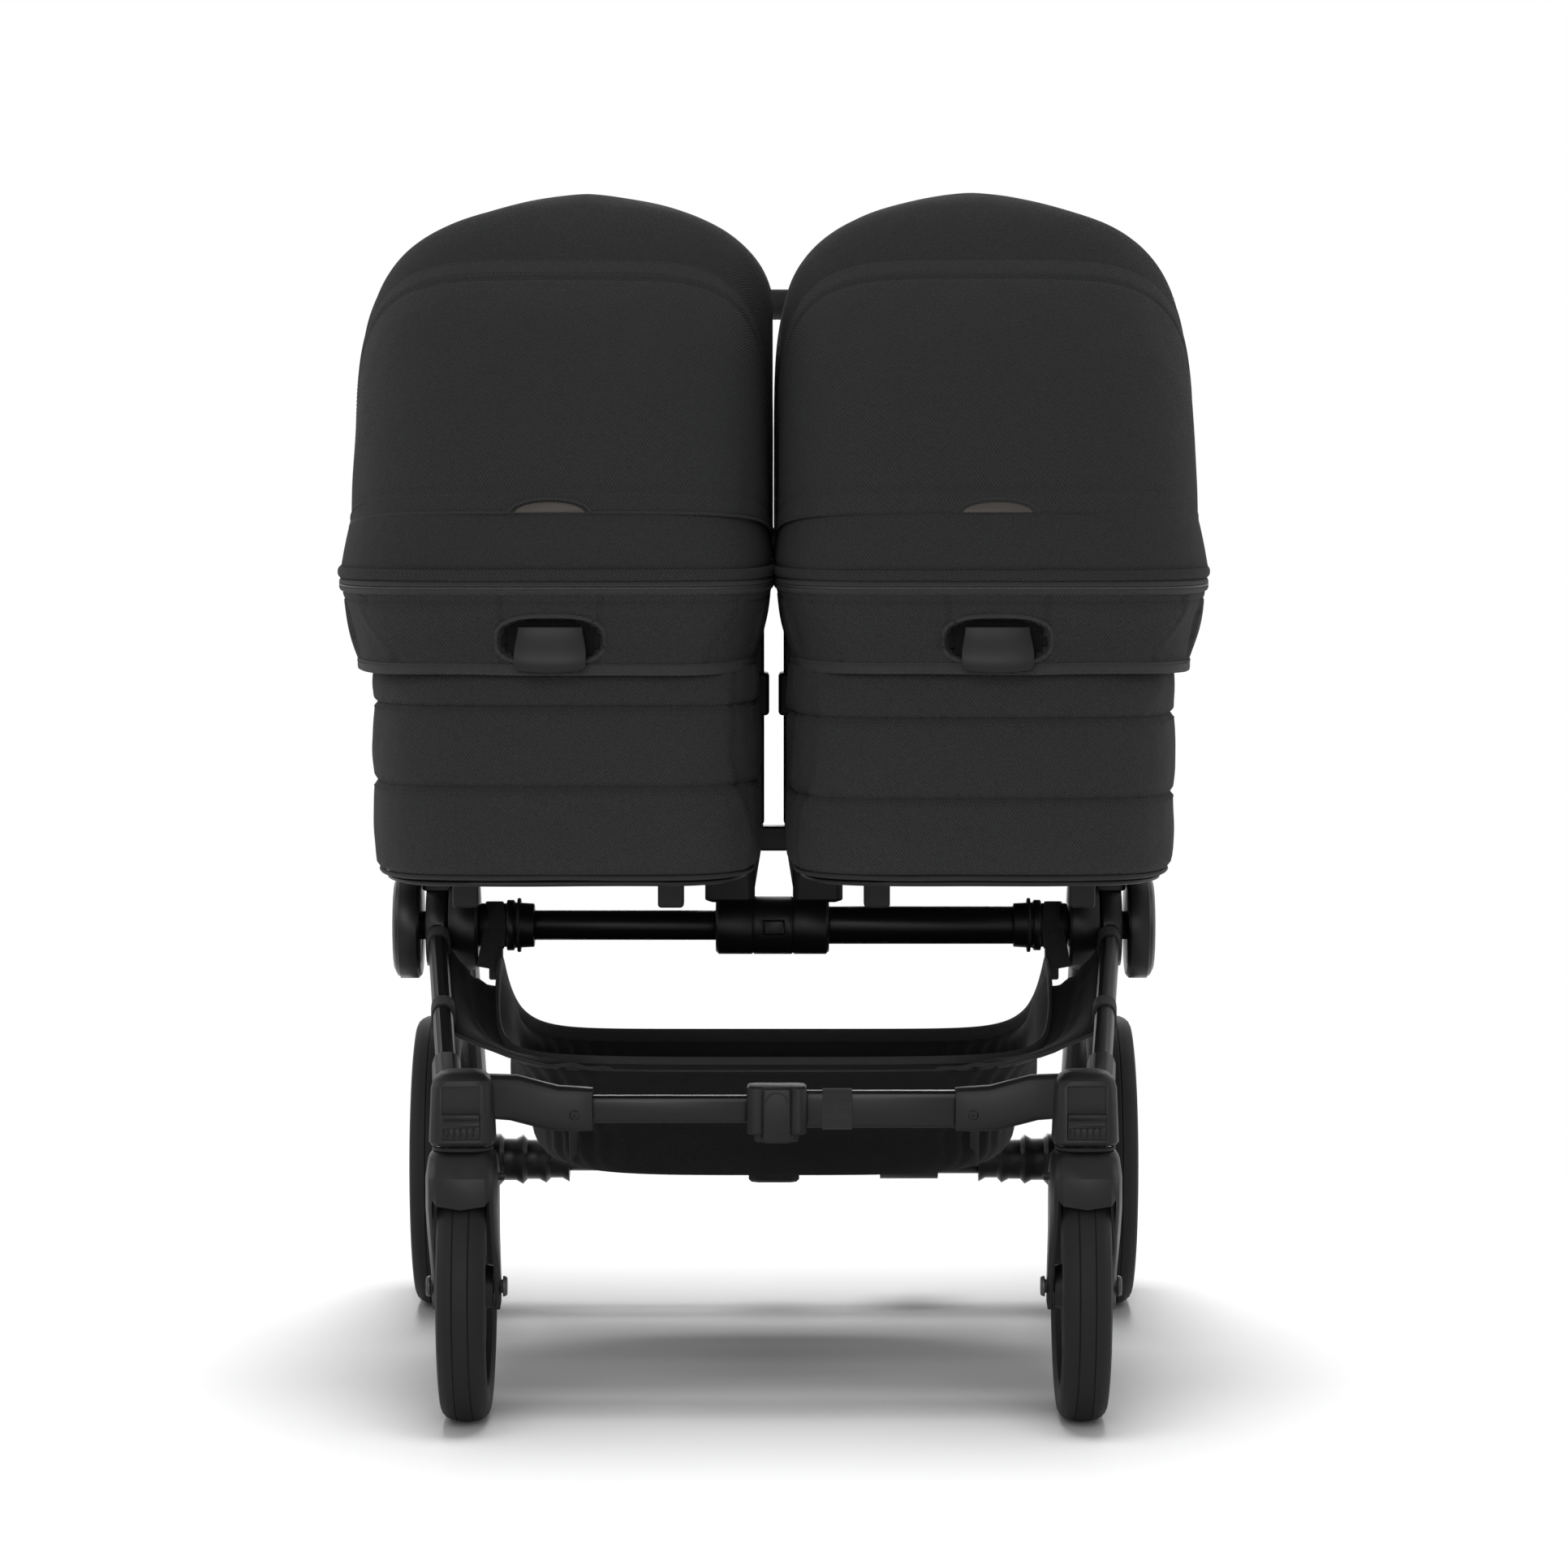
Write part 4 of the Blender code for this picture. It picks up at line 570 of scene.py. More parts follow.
def tab(label, side, cot):
    """A plain half-moon tab let into the middle of the hem, under a bound arch of cloth."""
    hem = radians(BACK_FROM)
    rings = []
    for rise, shrink in ((0.0, 0.0), (0.0011, 0.0004), (0.0016, 0.002)):
        ring = []
        for k in range(33):
            t = pi * k / 32
            x = COT_X + (0.0315 - shrink) * cos(t)
            up = 0.0008 + shrink * 0.5 + (0.0098 - shrink) * sin(t)
            level = (1 - 0.9 * (abs(x - HOOD_X) / BACK_HALF) ** BACK_POWER) ** (1 / BACK_POWER)
            ring.append(hood_point(side, x, (BACK_R + 0.0018 + rise) * level, hem + up / BACK_R))
        rings.append(ring)
    solid("hood_tab_" + label, rings, TAG, cot, sharp=50)
    path = []
    for k in range(41):
        t = pi * k / 40
        turn = hem + (0.0004 + 0.0128 * sin(t)) / BACK_R
        path.append(hood_point(side, COT_X + 0.0365 * cos(t), BACK_R + 0.0022, turn))
    strip("hood_tab_welt_" + label, path, 0.0015, 0.0015, BINDING, cot)


def hood_top(label, side):
    """The cloth from the back's arch to the bow, drawn in behind the arch and stretched over the bow."""
    bow = "hood_bow_" + label
    out = out_of_hood(side)
    count = 170
    rows = []
    for share in shares(46):
        angle = mix(BACK_TO - 0.3, BOW_ANGLE + 0.9, share)
        rise = sin(pi / 2 * min(share / 0.62, 1))
        settled = smooth(share / 0.55)
        bowed = smooth((share - 0.62) / 0.38)
        half = mix(BACK_HALF - 0.0026, BACK_HALF + TOP_SPREAD[label], settled)
        half = mix(half, BOW_HALF + 0.0002, bowed)
        powers = [mix(BACK_POWER, power, settled) for power in BOW_POWERS]
        shift = mix(mix(BACK_SHIFT, TOP_LEAN[label], settled), 0.0, bowed)
        line = arch(side, angle, mix(BACK_R - 0.002, TOP_R + 0.0042, rise), half, powers, shift)
        row = []
        for j, p in enumerate(resample(line, count)):
            wave = 0.0012 * ripple(p, 9.0, 1.3 + side) + 0.0005 * ripple(p, 26.0, 5.2)
            wave *= sin(pi * min(share / 0.9, 1)) * sin(pi * j / (count - 1)) ** 0.5
            point = Vector(p) + out(p) * (wave - 0.0012 * bell(share, 0.86, 0.01))
            point.x = side * max(side * point.x, HOODS_APART)
            row.append(point)
        rows.append(row)
    top = skin("hood_top_cloth_" + label, rows, CLOTH, None, 0.0014)
    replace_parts(top, "hood_top_" + label)
    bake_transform(top)
    edge = resample(arch(side, BOW_ANGLE + 1.0, TOP_R + 0.0034, BOW_HALF, BOW_POWERS), 190)
    strip("hood_edge_" + label, edge, 0.0028, 0.0008, BINDING, bow, up=out)
    line = resample(arch(side, BOW_ANGLE, TOP_R + 0.0012, BOW_HALF - 0.0002, BOW_POWERS), 120)
    hoop = strip("hood_hoop_" + label, line, 0.0058, 0.0006, SATIN, bow, up=out, power=5.0)
    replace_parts(hoop, bow)


def hood_band(label, side, cot):
    """The cloth band between the rim and the hood's hem, and the hood's side hinges."""
    back_y = PIVOT_Y + 0.03
    lower = [p for p in outline(side, RIM_Z + 0.0006, -0.0012, count=720) if p[1] < back_y]
    lower.sort(key=lambda p: atan2(side * (p[0] - side * COT_X), p[1] + 0.16 - 1e-6) % (2 * pi))
    lower = resample(lower, 150)
    arc = []
    for i in range(241):
        t = pi * i / 240
        x = HOOD_X + 0.187 * rounded(cos(t), BACK_POWER)
        arc.append((side * x, PIVOT_Y - 0.2845 * sin(t) ** (2 / BACK_POWER), BAND_TOP_Z))
    upper = resample([(arc[0][0], back_y, BAND_TOP_Z)] + arc + [(arc[-1][0], back_y, BAND_TOP_Z)], 150)
    if np.linalg.norm(lower[0] - upper[0]) > np.linalg.norm(lower[0] - upper[-1]):
        upper = upper[::-1]
    rows = []
    for share in shares(12):
        row = []
        for a, b in zip(lower, upper):
            p = Vector(mix(a, b, share))
            out = Vector((p.x - side * COT_X, p.y - PIVOT_Y, 0)).normalized()
            row.append(p + out * (0.0014 * sin(pi * share) + 0.001 * ripple(p, 18.0, 9.0 + side)))
        rows.append(row)
    band = skin("hood_band_cloth_" + label, rows, CLOTH, cot, 0.0016)
    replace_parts(band, "hood_band_" + label)
    for place, way in WAYS:
        x = side * (HOOD_X + way * (BOW_HALF + 0.0006))
        tip = side * way * (0.003 if way > 0 else 0.0012)
        cap = [(-side * way * 0.014, 0.009), (0.0, 0.015), (tip * 0.7, 0.015), (tip, 0.0132), (tip * 0.9, 0.004)]
        centre = (x, PIVOT_Y, PIVOT_Z)
        lathe("hood_hinge_%s_%s" % (label, place), cap, centre, PLASTIC, cot, steps=40, closed=False)


# Carrycots

SEAMS = {"left": (0.66, 0.587), "right": (0.649, 0.576)}
# Height and distance out of each row of the zip's tape
ZIP_SECTION = (
    (0.7745, -0.002), (0.7735, 0.0008), (0.7722, 0.0026), (0.7702, 0.0034), (0.769, 0.0034), (0.7684, 0.0022),
    (0.7664, 0.0022), (0.7658, 0.0034), (0.7642, 0.0034), (0.7622, 0.0024), (0.7612, 0.0006), (0.76, -0.0024),
)
# Height and inset of each row over the mattress's edge
PAD_SECTION = (
    (0.0, 0.022), (0.004, 0.0155), (0.014, 0.014), (0.028, 0.014), (0.036, 0.017), (0.0405, 0.024),
    (0.043, 0.036), (0.0445, 0.06), (0.0452, 0.09), (0.0455, 0.115),
)


def pocket(side, p):
    """How deep a point of the skirt's near face lies in the flap's oval opening, 0 to 1."""
    if p[1] > NEAR_FACE:
        return 0.0
    a = abs(p[0] - side * COT_X) / POCKET_X
    b = abs(p[2] - FLAP_Z) / POCKET_Z
    reach = (a ** FLAP_POWER + b ** FLAP_POWER) ** (1 / FLAP_POWER)
    return smooth((1.06 - reach) / 0.22)


def flap_oval(rows, side, count, grow, raised):
    """An oval round the flap on the skirt's near face."""
    ring = []
    for a, b in oval(count, FLAP_POWER):
        x = side * COT_X + LIP_X * grow * a
        z = FLAP_Z + LIP_Z * grow * b
        ring.append((x, near_face(rows, x, z) + raised, z))
    return ring


def skirt_seam(share):
    """Distance from the cot's middle line of the seams that part the skirt's near panel from its corners."""
    return mix(0.169, 0.14, smooth((share - 0.1) / 0.85))


def skirt(label, side, cot):
    """The skirt under the zip, with its sewn panels, its hem and the hollow behind the flap."""
    count = 360
    top = outline(side, SKIRT_TOP, -0.0004, count=count)
    bottom = outline(side, SKIRT_LOW, 0.015, count=count)
    normal = outward(top)
    rows = []
    for share in shares(40):
        hang = sin(pi * share)
        row = []
        for j in range(count):
            p = mix(top[j], bottom[j], share)
            bulge = 0.0022 * hang + 0.0022 * hang * ripple(p, 17.0, 2.0 + side)
            seam = -0.0012 * bell(share, 0.1, 0.02)
            if p[1] < NEAR_FACE:
                corner = abs(p[0] * side - COT_X)
                panel = corner - skirt_seam(share)
                flat = smooth((0.17 - corner) / 0.05)
                seam -= 0.003 * bell(panel, 0.0, 0.0026)
                seam -= 0.0042 * smooth(panel / 0.012) * hang
                seam += 0.0026 * bell(share, 0.24, 0.1) * flat
                seam -= 0.005 * bell(share, 0.62, 0.2) * flat
            p = p + normal[j] * (bulge + seam)
            deep = pocket(side, p)
            rim = 0.0026 * bell(deep, 0.22, 0.2) if deep > 0 else 0.0
            row.append(p + normal[j] * (rim - 0.015 * smooth(deep)))
        rows.append(row)
    for step, rise in ((0.0035, -0.0008), (0.01, 0.003), (0.0165, 0.006)):
        rows.append(outline(side, SKIRT_LOW + rise, 0.015 + step, count=count))
    skin("skirt_" + label, rows, CLOTH, cot, closed=True)
    hem = waved(outline(side, HEM_Z + 0.004, 0.014, count=360), 0.0022, 9.0, 4.0 + side)
    strip("skirt_hem_" + label, hem, 0.0015, 0.0052, ZIP_TAPE, cot, closed=True, up=UP, power=4.0)
    threads = outline(side, HEM_Z + 0.0072, 0.0125, count=300)
    middle = Vector((side * COT_X, -0.1, HEM_Z))
    stitches("skirt_hem_stitches_" + label, threads, lambda p: (p - middle).normalized(), cot)
    for place, way in WAYS:
        path = []
        for at in shares(30):
            share = mix(0.04, 0.93, at)
            x = side * (COT_X + way * (skirt_seam(share) - 0.0032))
            z = mix(SKIRT_TOP, SKIRT_LOW, share)
            path.append((x, near_face(rows, x, z), z))
        stitches("skirt_seam_stitches_%s_%s" % (label, place), path, lambda p: Vector((0, -1, -0.15)), cot)
    lip = flap_oval(rows, side, 72, 1.0, 0.0006)
    strip("flap_lip_" + label, lip, 0.0019, 0.0019, ZIP_TAPE, cot, closed=True, up=(0, -1, 0))
    # A dark nylon sheet over the hollow, far darker than the skirt's cloth: painted shade in the hollow behind the
    # flap
    hollow = [flap_oval(rows, side, 48, mix(0.02, 0.9, share), -0.001) for share in shares(9)]
    skin("flap_painted_shade_" + label, hollow, NYLON, cot, closed=True)


def near_face(rows, x, z):
    """Y of the near face of a skin's rows at a place across and up."""
    face = (p for row in rows for p in row if p[1] < NEAR_FACE)
    return min(face, key=lambda p: (p[0] - x) ** 2 + (p[2] - z) ** 2)[1] - 0.0004


def rim_and_zip(label, side, cot):
    """The rim's padded bead and the zip below it, with its slider and pull at the foot end."""
    bead = waved(outline(side, 0.7786, -0.0004, count=400), 0.0007, 8.0, 2.0 + side)
    strip("rim_bead_" + label, bead, 0.0046, 0.0054, CLOTH, cot, closed=True, up=UP, count=16)
    rows = [outline(side, z, -out, count=400) for z, out in ZIP_SECTION]
    skin("zip_tape_" + label, rows, ZIP_TAPE, cot, closed=True)
    teeth = outline(side, TEETH_Z, -0.0026, count=720)
    strip("zip_teeth_" + label, teeth, 0.001, 0.0011, ZIP, cot, closed=True, up=UP, count=8)
    foot = outline(side, TEETH_Z, -0.004, count=720)
    x, y = min(foot, key=lambda p: (p[0] - side * (COT_X - 0.03)) ** 2 + (p[1] - COT_FOOT_Y) ** 2)[:2]
    box_solid(
        "zip_slider_" + label, (x - 0.0075, x + 0.0075), (y - 0.0014, y + 0.003),
        (TEETH_Z - 0.0042, TEETH_Z + 0.0042), STEEL, cot, 0.001)
    box_solid(
        "zip_pull_" + label, (x - 0.0028, x + 0.0028), (y + 0.0026, y + 0.0042),
        (TEETH_Z - 0.027, TEETH_Z + 0.001), WEBBING, cot, 0.0006)


def lower_body(label, side, cot):
    """The soft lower part: three padded bands between sewn seams, with a welt down its inner corner."""
    seams = SEAMS[label]
    count = 300
    levels = [(BODY_TOP, 0.0, 0.0)]
    stops = (BODY_TOP, *seams, BODY_LOW)
    for a, b in zip(stops, stops[1:]):
        for k in range(1, 15):
            levels.append((mix(a, b, k / 14), sin(pi * k / 14) ** 0.5 if k < 14 else 0.0, 0.0))
    levels += [(0.5085, 0.0, 0.0025), (0.5055, 0.0, 0.0085), (0.502, 0.0, 0.0185)]
    rows = []
    for z, puff, inset in levels:
        ring = outline(side, z, inset, lower=True, count=count)
        normal = outward(ring)
        row = []
        low = smooth((0.62 - z) / 0.08)
        for j, p in enumerate(ring):
            inner = smooth((0.13 - (side * p[0] - 0.03)) / 0.12)
            near = smooth((-0.36 - p[1]) / 0.08)
            wave = (0.0016 + 0.0024 * inner) * ripple(p, 15.0, 6.0 + side) + 0.001 * ripple(p, 40.0, 1.0)
            wave += 0.0014 * inner * ripple((p[0] * 0.3, p[1] * 0.3, p[2]), 60.0, 4.0)
            pucker = 0.0
            for seam in seams:
                gather = sin(j / count * 2 * pi * 110 + 4 * ripple(p, 30.0, 2.0))
                pucker += 0.0007 * bell(z, seam, 0.006) * gather
                pucker -= 0.0024 * bell(z, seam, 0.0016)
            corner = side * p[0] - mix(0.044, 0.026, low) if p[1] < NEAR_FACE else 1.0
            welt = 0.0026 * bell(corner, 0.0, 0.0026) - 0.003 * smooth(-corner / 0.006)
            fade = 1.0 if z > BODY_LOW else 0.3
            row.append(p + normal[j] * (0.0024 * puff + (wave + pucker) * fade - 0.0004 * (1 - puff) + welt * near))
        rows.append(row)
    body = skin("body_cloth_" + label, rows, CLOTH, cot, closed=True)
    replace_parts(body, cot)
    hem = waved(outline(side, 0.5045, 0.0052, lower=True, count=300), 0.001, 14.0, 5.0 + side)
    strip("body_hem_" + label, hem, 0.0022, 0.0022, BINDING, cot, closed=True)
    middle = Vector((side * (COT_X - 0.01), -0.1, 0.6))
    for i, seam in enumerate(seams):
        index = min(range(len(rows)), key=lambda k: abs(levels[k][0] - seam + 0.004))
        line = [p + (Vector(p) - middle).normalized() * 0.0003 for p in rows[index]]
        stitches(
            "body_stitches_%s_%d" % (label, i), line,
            lambda p: Vector((p.x - middle.x, p.y - middle.y, 0)).normalized(), cot)
    rings = []
    for z, inset in ((0.5026, 0.019), (0.5022, 0.012), (0.5, 0.0098), (0.4975, 0.0104), (0.4962, 0.015)):
        rings.append(waved(outline(side, z, inset, lower=True, count=160), 0.0006, 12.0, 8.0))
    solid("base_board_" + label, rings, PLASTIC, cot, sharp=60)
    for i, y in enumerate((COT_NEAR_Y + 0.17, COT_FOOT_Y - 0.13)):
        for j, x in enumerate((COT_X - 0.105, COT_X + 0.085)):
            rings = []
            for z, grow in ((0.466, -0.0015), (0.4685, 0.0), (0.492, 0.0), (0.4985, 0.003)):
                hx, hy = 0.012 + grow, 0.016 + grow
                rings.append([(side * x + a * hx, y + b * hy, z) for a, b in ((-1, -1), (1, -1), (1, 1), (-1, 1))])
            solid("foot_%s_%d%d" % (label, i, j), rings, PLASTIC, cot, 0.0018)
    for name, inner, outer, half_y, z, material, bevel in (
            ("inner_leg", 0.0095, 0.037, 0.014, (0.5213, 0.72), SATIN, 0.003),
            ("outer_leg", 0.3295, 0.3445, 0.014, (0.5003, 0.72), SATIN, 0.003),
            ("leg_knuckle", 0.0045, 0.0395, 0.018, (0.628, 0.67), PLASTIC, 0.004)):
        x, y = (side * inner, side * outer), (HUB_Y - half_y, HUB_Y + half_y)
        box_solid(name + "_" + label, x, y, z, material, cot, bevel)


def lever_flap(label, side):
    """The moulded pull in the skirt's pocket: a crowned plate that thickens towards its lower edge."""
    body = "release_flap_" + label
    rows = []
    for share in shares(12):
        z = mix(0.7325, 0.6935, share)
        half = mix(0.0292, 0.0325, smooth(share * 1.6)) - 0.0035 * smooth((share - 0.86) / 0.14) ** 2
        face = mix(-0.4915, -0.501, smooth(share * 1.25)) + 0.0022 * smooth((share - 0.84) / 0.16)
        ring = []
        for k in range(15):
            a = -1 + 2 * k / 14
            ring.append((side * COT_X + half * a, face + 0.003 * abs(a) ** 3.2, z - 0.0022 * (1 - a * a) * share))
        for k in range(15):
            a = 1 - 2 * k / 14
            ring.append((side * COT_X + (half - 0.0006) * a, face + mix(0.01, 0.0072, share), z))
        rows.append(ring)
    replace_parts(solid(body + "_plate", rows, PLASTIC, body, 0.0009), body)


def apron(label, side, cot):
    """The apron over the open half, domed behind the hood and flat towards the foot end."""
    halves, shifts, span = RIM_PLAN
    middle, half_y = (COT_NEAR_Y + COT_FOOT_Y) / 2, (COT_FOOT_Y - COT_NEAR_Y) / 2
    rows = []
    for share in shares(36):
        y = mix(-0.062, COT_FOOT_Y - 0.0008, sin(pi / 2 * share))
        end = min(abs(y - middle) / half_y, 0.9999)
        half = (tapered(y, halves, span) + 0.0008) * (1 - end ** COT_POWER) ** (1 / COT_POWER)
        rise = 0.0008 + 0.032 * (1 - share ** 4)
        row = []
        for j in range(110):
            t = pi * j / 109
            up = sin(t) ** (2 / 2.6)
            x = COT_X - tapered(y, shifts, span) + half * rounded(cos(t), 2.6)
            p = Vector((side * x, y, RIM_Z + 0.0008 + rise * up))
            p.z += up * (0.0022 * ripple(p, 12.0, 5.0 + side) + 0.001 * ripple(p, 33.0, 3.0))
            if share < 0.1:
                p.z += 0.0016 * (1 - share / 0.1) * up
            row.append(p)
        rows.append(row)
    made = skin("apron_cloth_" + label, rows, CLOTH, cot, 0.0016)
    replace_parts(made, "apron_" + label)
    strip("apron_hem_" + label, resample(rows[0], 120), 0.002, 0.002, BINDING, cot)


def inside(label, side, cot):
    """The lining down to the mattress, and the mattress with its quilted top."""
    rows = []
    for z, inset in ((RIM_Z + 0.001, 0.004), (RIM_Z - 0.004, 0.018), (RIM_Z - 0.02, 0.03)):
        rows.append(outline(side, z, inset))
    for share in shares(11):
        ring = outline(side, mix(RIM_Z - 0.04, 0.524, share), 0.0105, lower=True)
        normal = outward(ring)
        rows.append([p - normal[j] * (0.0016 + 0.0012 * ripple(p, 22.0, 3.0)) for j, p in enumerate(ring)])
    skin("lining_" + label, rows, LINING, cot, closed=True)
    rings = []
    tufts = 2 * pi / 0.055
    for height, inset in PAD_SECTION:
        ring = outline(side, 0.5156 + height, inset, lower=True, count=200)
        if height > 0.036:
            ring[:, 2] += [0.0012 * cos(p[1] * tufts) * cos(p[0] * tufts) for p in ring]
        rings.append(ring)
    pad = solid("mattress_pad_" + label, rings, PAD, cot, sharp=60)
    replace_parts(pad, "mattress_" + label)


for label, side in SIDES:
    cot = "carrycot_" + label
    hood_back(label, side, cot)
    hood_top(label, side)
    hood_band(label, side, cot)
    skirt(label, side, cot)
    rim_and_zip(label, side, cot)
    lower_body(label, side, cot)
    lever_flap(label, side)
    apron(label, side, cot)
    inside(label, side, cot)


# Wheels

def tyre(name, centre, radius, width, body):
    """A moulded tyre with a ridged crown and grooved shoulders."""
    half = width / 2
    inner = radius - TYRE_DEPTH
    wall = [
        (0.6, inner + 0.0004), (0.84, inner + 0.003), (0.97, inner + 0.0085), (1.0, inner + 0.0145),
        (0.975, inner + 0.0195), (0.9, radius - 0.0068), (0.86, radius - 0.0062), (0.8, radius - 0.0045),
        (0.6, radius - 0.002), (0.36, radius - 0.0008), (0.32, radius - 0.0016), (0.27, radius - 0.0004),
    ]
    profile = [(-half * share, r) for share, r in wall] + [(0.0, radius)]
    profile += [(half * share, r) for share, r in wall[::-1]]
    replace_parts(lathe(name + "_moulded", profile, centre, RUBBER, body, steps=120, sharp=28), name)


for label, side in SIDES:
    tyre("front_tyre_" + label, (side * SWIVEL_X, FRONT_AXLE_Y, FRONT_R), FRONT_R, FRONT_W, "front_wheel_" + label)
    tyre("rear_tyre_" + label, (side * REAR_X, REAR_AXLE_Y, REAR_R), REAR_R, REAR_W, "rear_wheel_" + label)


# Basket

def basket_level(share, bulge=0.0):
    """One level round the basket, from its floor to the rim that rises to the hubs."""
    middle = (BASKET_FRONT + BASKET_BACK) / 2
    half_y = (BASKET_BACK - BASKET_FRONT) / 2 - 0.012 * (1 - share)
    ring = []
    for a, b in oval(240, BASKET_POWER):
        y = middle + (half_y + bulge) * b
        base = mix(0.312, 0.285, (y - BASKET_FRONT) / (BASKET_BACK - BASKET_FRONT))
        rim_z = mix(base, 0.385, bell(y, HUB_Y, 0.105))
        half_x = mix(0.205, 0.268 - 0.03 * abs(b) ** 3, sqrt(share))
        ring.append(Vector(((half_x + bulge) * a, y, mix(BASKET_FLOOR, rim_z, share))))
    return ring


def basket():
    """The basket's gathered cloth, its bound rim and the tabs that hang it from the hubs."""
    rows = []
    middle = Vector((0, (BASKET_FRONT + BASKET_BACK) / 2, BASKET_FLOOR - 0.003))
    for at in shares(9):
        ring = [middle.lerp(p, mix(0.004, 0.93, at)) for p in basket_level(0.0)]
        rows.append([Vector((p.x, p.y, p.z + 0.0016 * ripple(p, 9.0, 2.0))) for p in ring])
    for share in shares(31):
        row = []
        for j, p in enumerate(basket_level(share, 0.0035 * sin(share * pi * 4.5))):
            turn = 2 * pi * j / 240
            corner = abs(cos(turn) * sin(turn)) * 2
            gather = 0.0034 * sin(turn * 46) * corner ** 6 * sin(pi * share)
            out = Vector((p.x, p.y + 0.054, 0)).normalized()
            row.append(p + out * (gather + 0.0026 * ripple(p, 13.0, 4.0) * sin(pi * min(share * 1.1, 1))))
        rows.append(row)
    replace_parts(skin("basket_cloth", rows, NYLON, "frame", 0.0014, closed=True), "basket")
    rim = basket_level(1.0, 0.0006)
    strip("basket_binding", rim, 0.0022, 0.0075, BINDING, "frame", closed=True, up=UP)
    for label, side in SIDES:
        x, y = (side * 0.2665, side * 0.2795), (HUB_Y - 0.012, HUB_Y + 0.012)
        box_solid("basket_tab_" + label, x, y, (0.368, 0.4075), WEBBING, "frame", 0.002)


basket()


# Small fittings of the chassis

def on_leg(side, share, inward=0.0):
    """A place on the front leg's middle line, or beside it."""
    p = LEG_START.lerp(LEG_END, share)
    return Vector((side * (p.x - inward), p.y, p.z))


def leg_straps(label, side):
    """Two webbing loops round the front leg and the gusset of cloth that they hold to the basket's rim."""
    for i, share in enumerate((0.13, 0.55)):
        path = [on_leg(side, share + 0.012 * k) for k in (-2, -1, 0, 1, 2)]
        strip("leg_loop_%s_%d" % (label, i), path, 0.0114, 0.0168, WEBBING, "frame", power=2.8, count=24)
    rim = [p for p in basket_level(1.0) if p.x * side > 0.15]
    rows = []
    steps = 28
    for i, at in enumerate(shares(steps)):
        held = on_leg(side, mix(0.1, 0.62, at), 0.0095) - Vector((0, 0, 0.006))
        edge = min(rim, key=lambda p: abs(p.y - held.y))
        row = []
        for t in shares(13):
            p = held.lerp(edge - Vector((0, 0, 0.004)), t)
            crease = bell(t, 0.3 + 0.45 * i / steps, 0.07) + 0.7 * bell(t, 0.62 + 0.35 * i / steps, 0.06)
            p.z -= (0.011 - 0.0045 * crease + 0.002 * ripple(p, 40.0, 2.0)) * sin(pi * t)
            row.append(p)
        rows.append(row)
    gusset = skin("basket_gusset_" + label, rows, NYLON, "frame", 0.0012, offset=0.0)
    for name, row in (("front", rows[-1]), ("back", rows[0])):
        strip("gusset_%s_%s" % (name, label), row, 0.0022, 0.0018, BINDING, "frame")


def bar_fittings(label, side):
    """A button-head bolt through the housing's arm, the fork's inner pin and the seal under the housing."""
    head = [(0.0025, 0.0046), (-0.0012, 0.0046), (-0.0022, 0.0036), (-0.0022, 0.002), (0.0, 0.0018)]
    centre = (side * 0.181, BAR_Y - 0.013, BAR_Z - 0.004)
    lathe("arm_bolt_" + label, head, centre, SATIN, "frame", axis="Y", steps=32, closed=False)
    pin = [(0.0, 0.0034), (-side * 0.0046, 0.0034), (-side * 0.0056, 0.0024)]
    centre = (side * 0.2496, SWIVEL_Y, 0.233)
    lathe("fork_pin_" + label, pin, centre, PLASTIC, "caster_" + label, steps=28, closed=False)
    rows = []
    for z, grow in ((0.2585, -0.001), (0.2592, 0.0008), (0.2618, 0.0008), (0.2626, -0.001)):
        half_x, half_y = 0.0265 + grow, 0.029 + grow
        rows.append([(side * SWIVEL_X + half_x * a, SWIVEL_Y + half_y * b, z) for a, b in oval(60, 3.0)])
    skin("housing_seal_" + label, rows, RUBBER, "frame", closed=True)


def hub_strap(label, side):
    """The hub's sleeve and ring, and the woven strap round it that hangs the gusset's upper corner."""
    sleeve = [
        (-0.0205, 0.015), (-0.02, 0.0205), (-0.018, 0.0215), (0.017, 0.0215), (0.019, 0.0205), (0.0195, 0.015)]
    centre = (side * 0.269, HUB_Y, HUB_Z)
    lathe("hub_sleeve_" + label, sleeve, centre, PLASTIC, "frame", closed=False)
    loop = []
    for a, b in oval(48, 2):
        loop.append((side * 0.274 + side * 0.003 * a, HUB_Y + 0.0226 * a, HUB_Z + 0.0226 * b))
    strip(
        "hub_strap_" + label, loop, 0.0085, 0.0009, WEBBING, "frame", closed=True,
        up=lambda p: (0, p[1] - HUB_Y, p[2] - HUB_Z), power=4.0)
    tail = [(side * (0.276 + 0.001 * k), HUB_Y - 0.0232 - 0.0016 * k, HUB_Z - 0.004 - 0.0058 * k) for k in range(7)]
    strip("hub_tail_" + label, tail, 0.0085, 0.0009, WEBBING, "frame", up=(0, -1, -0.3), power=4.0)
    ring = [(-0.0016, 0.0246), (-0.0016, 0.0262), (0.0, 0.0268), (0.0016, 0.0262), (0.0016, 0.0246)]
    lathe("collar_ring_" + label, ring, (side * 0.25, HUB_Y, HUB_Z), PLASTIC, "frame")


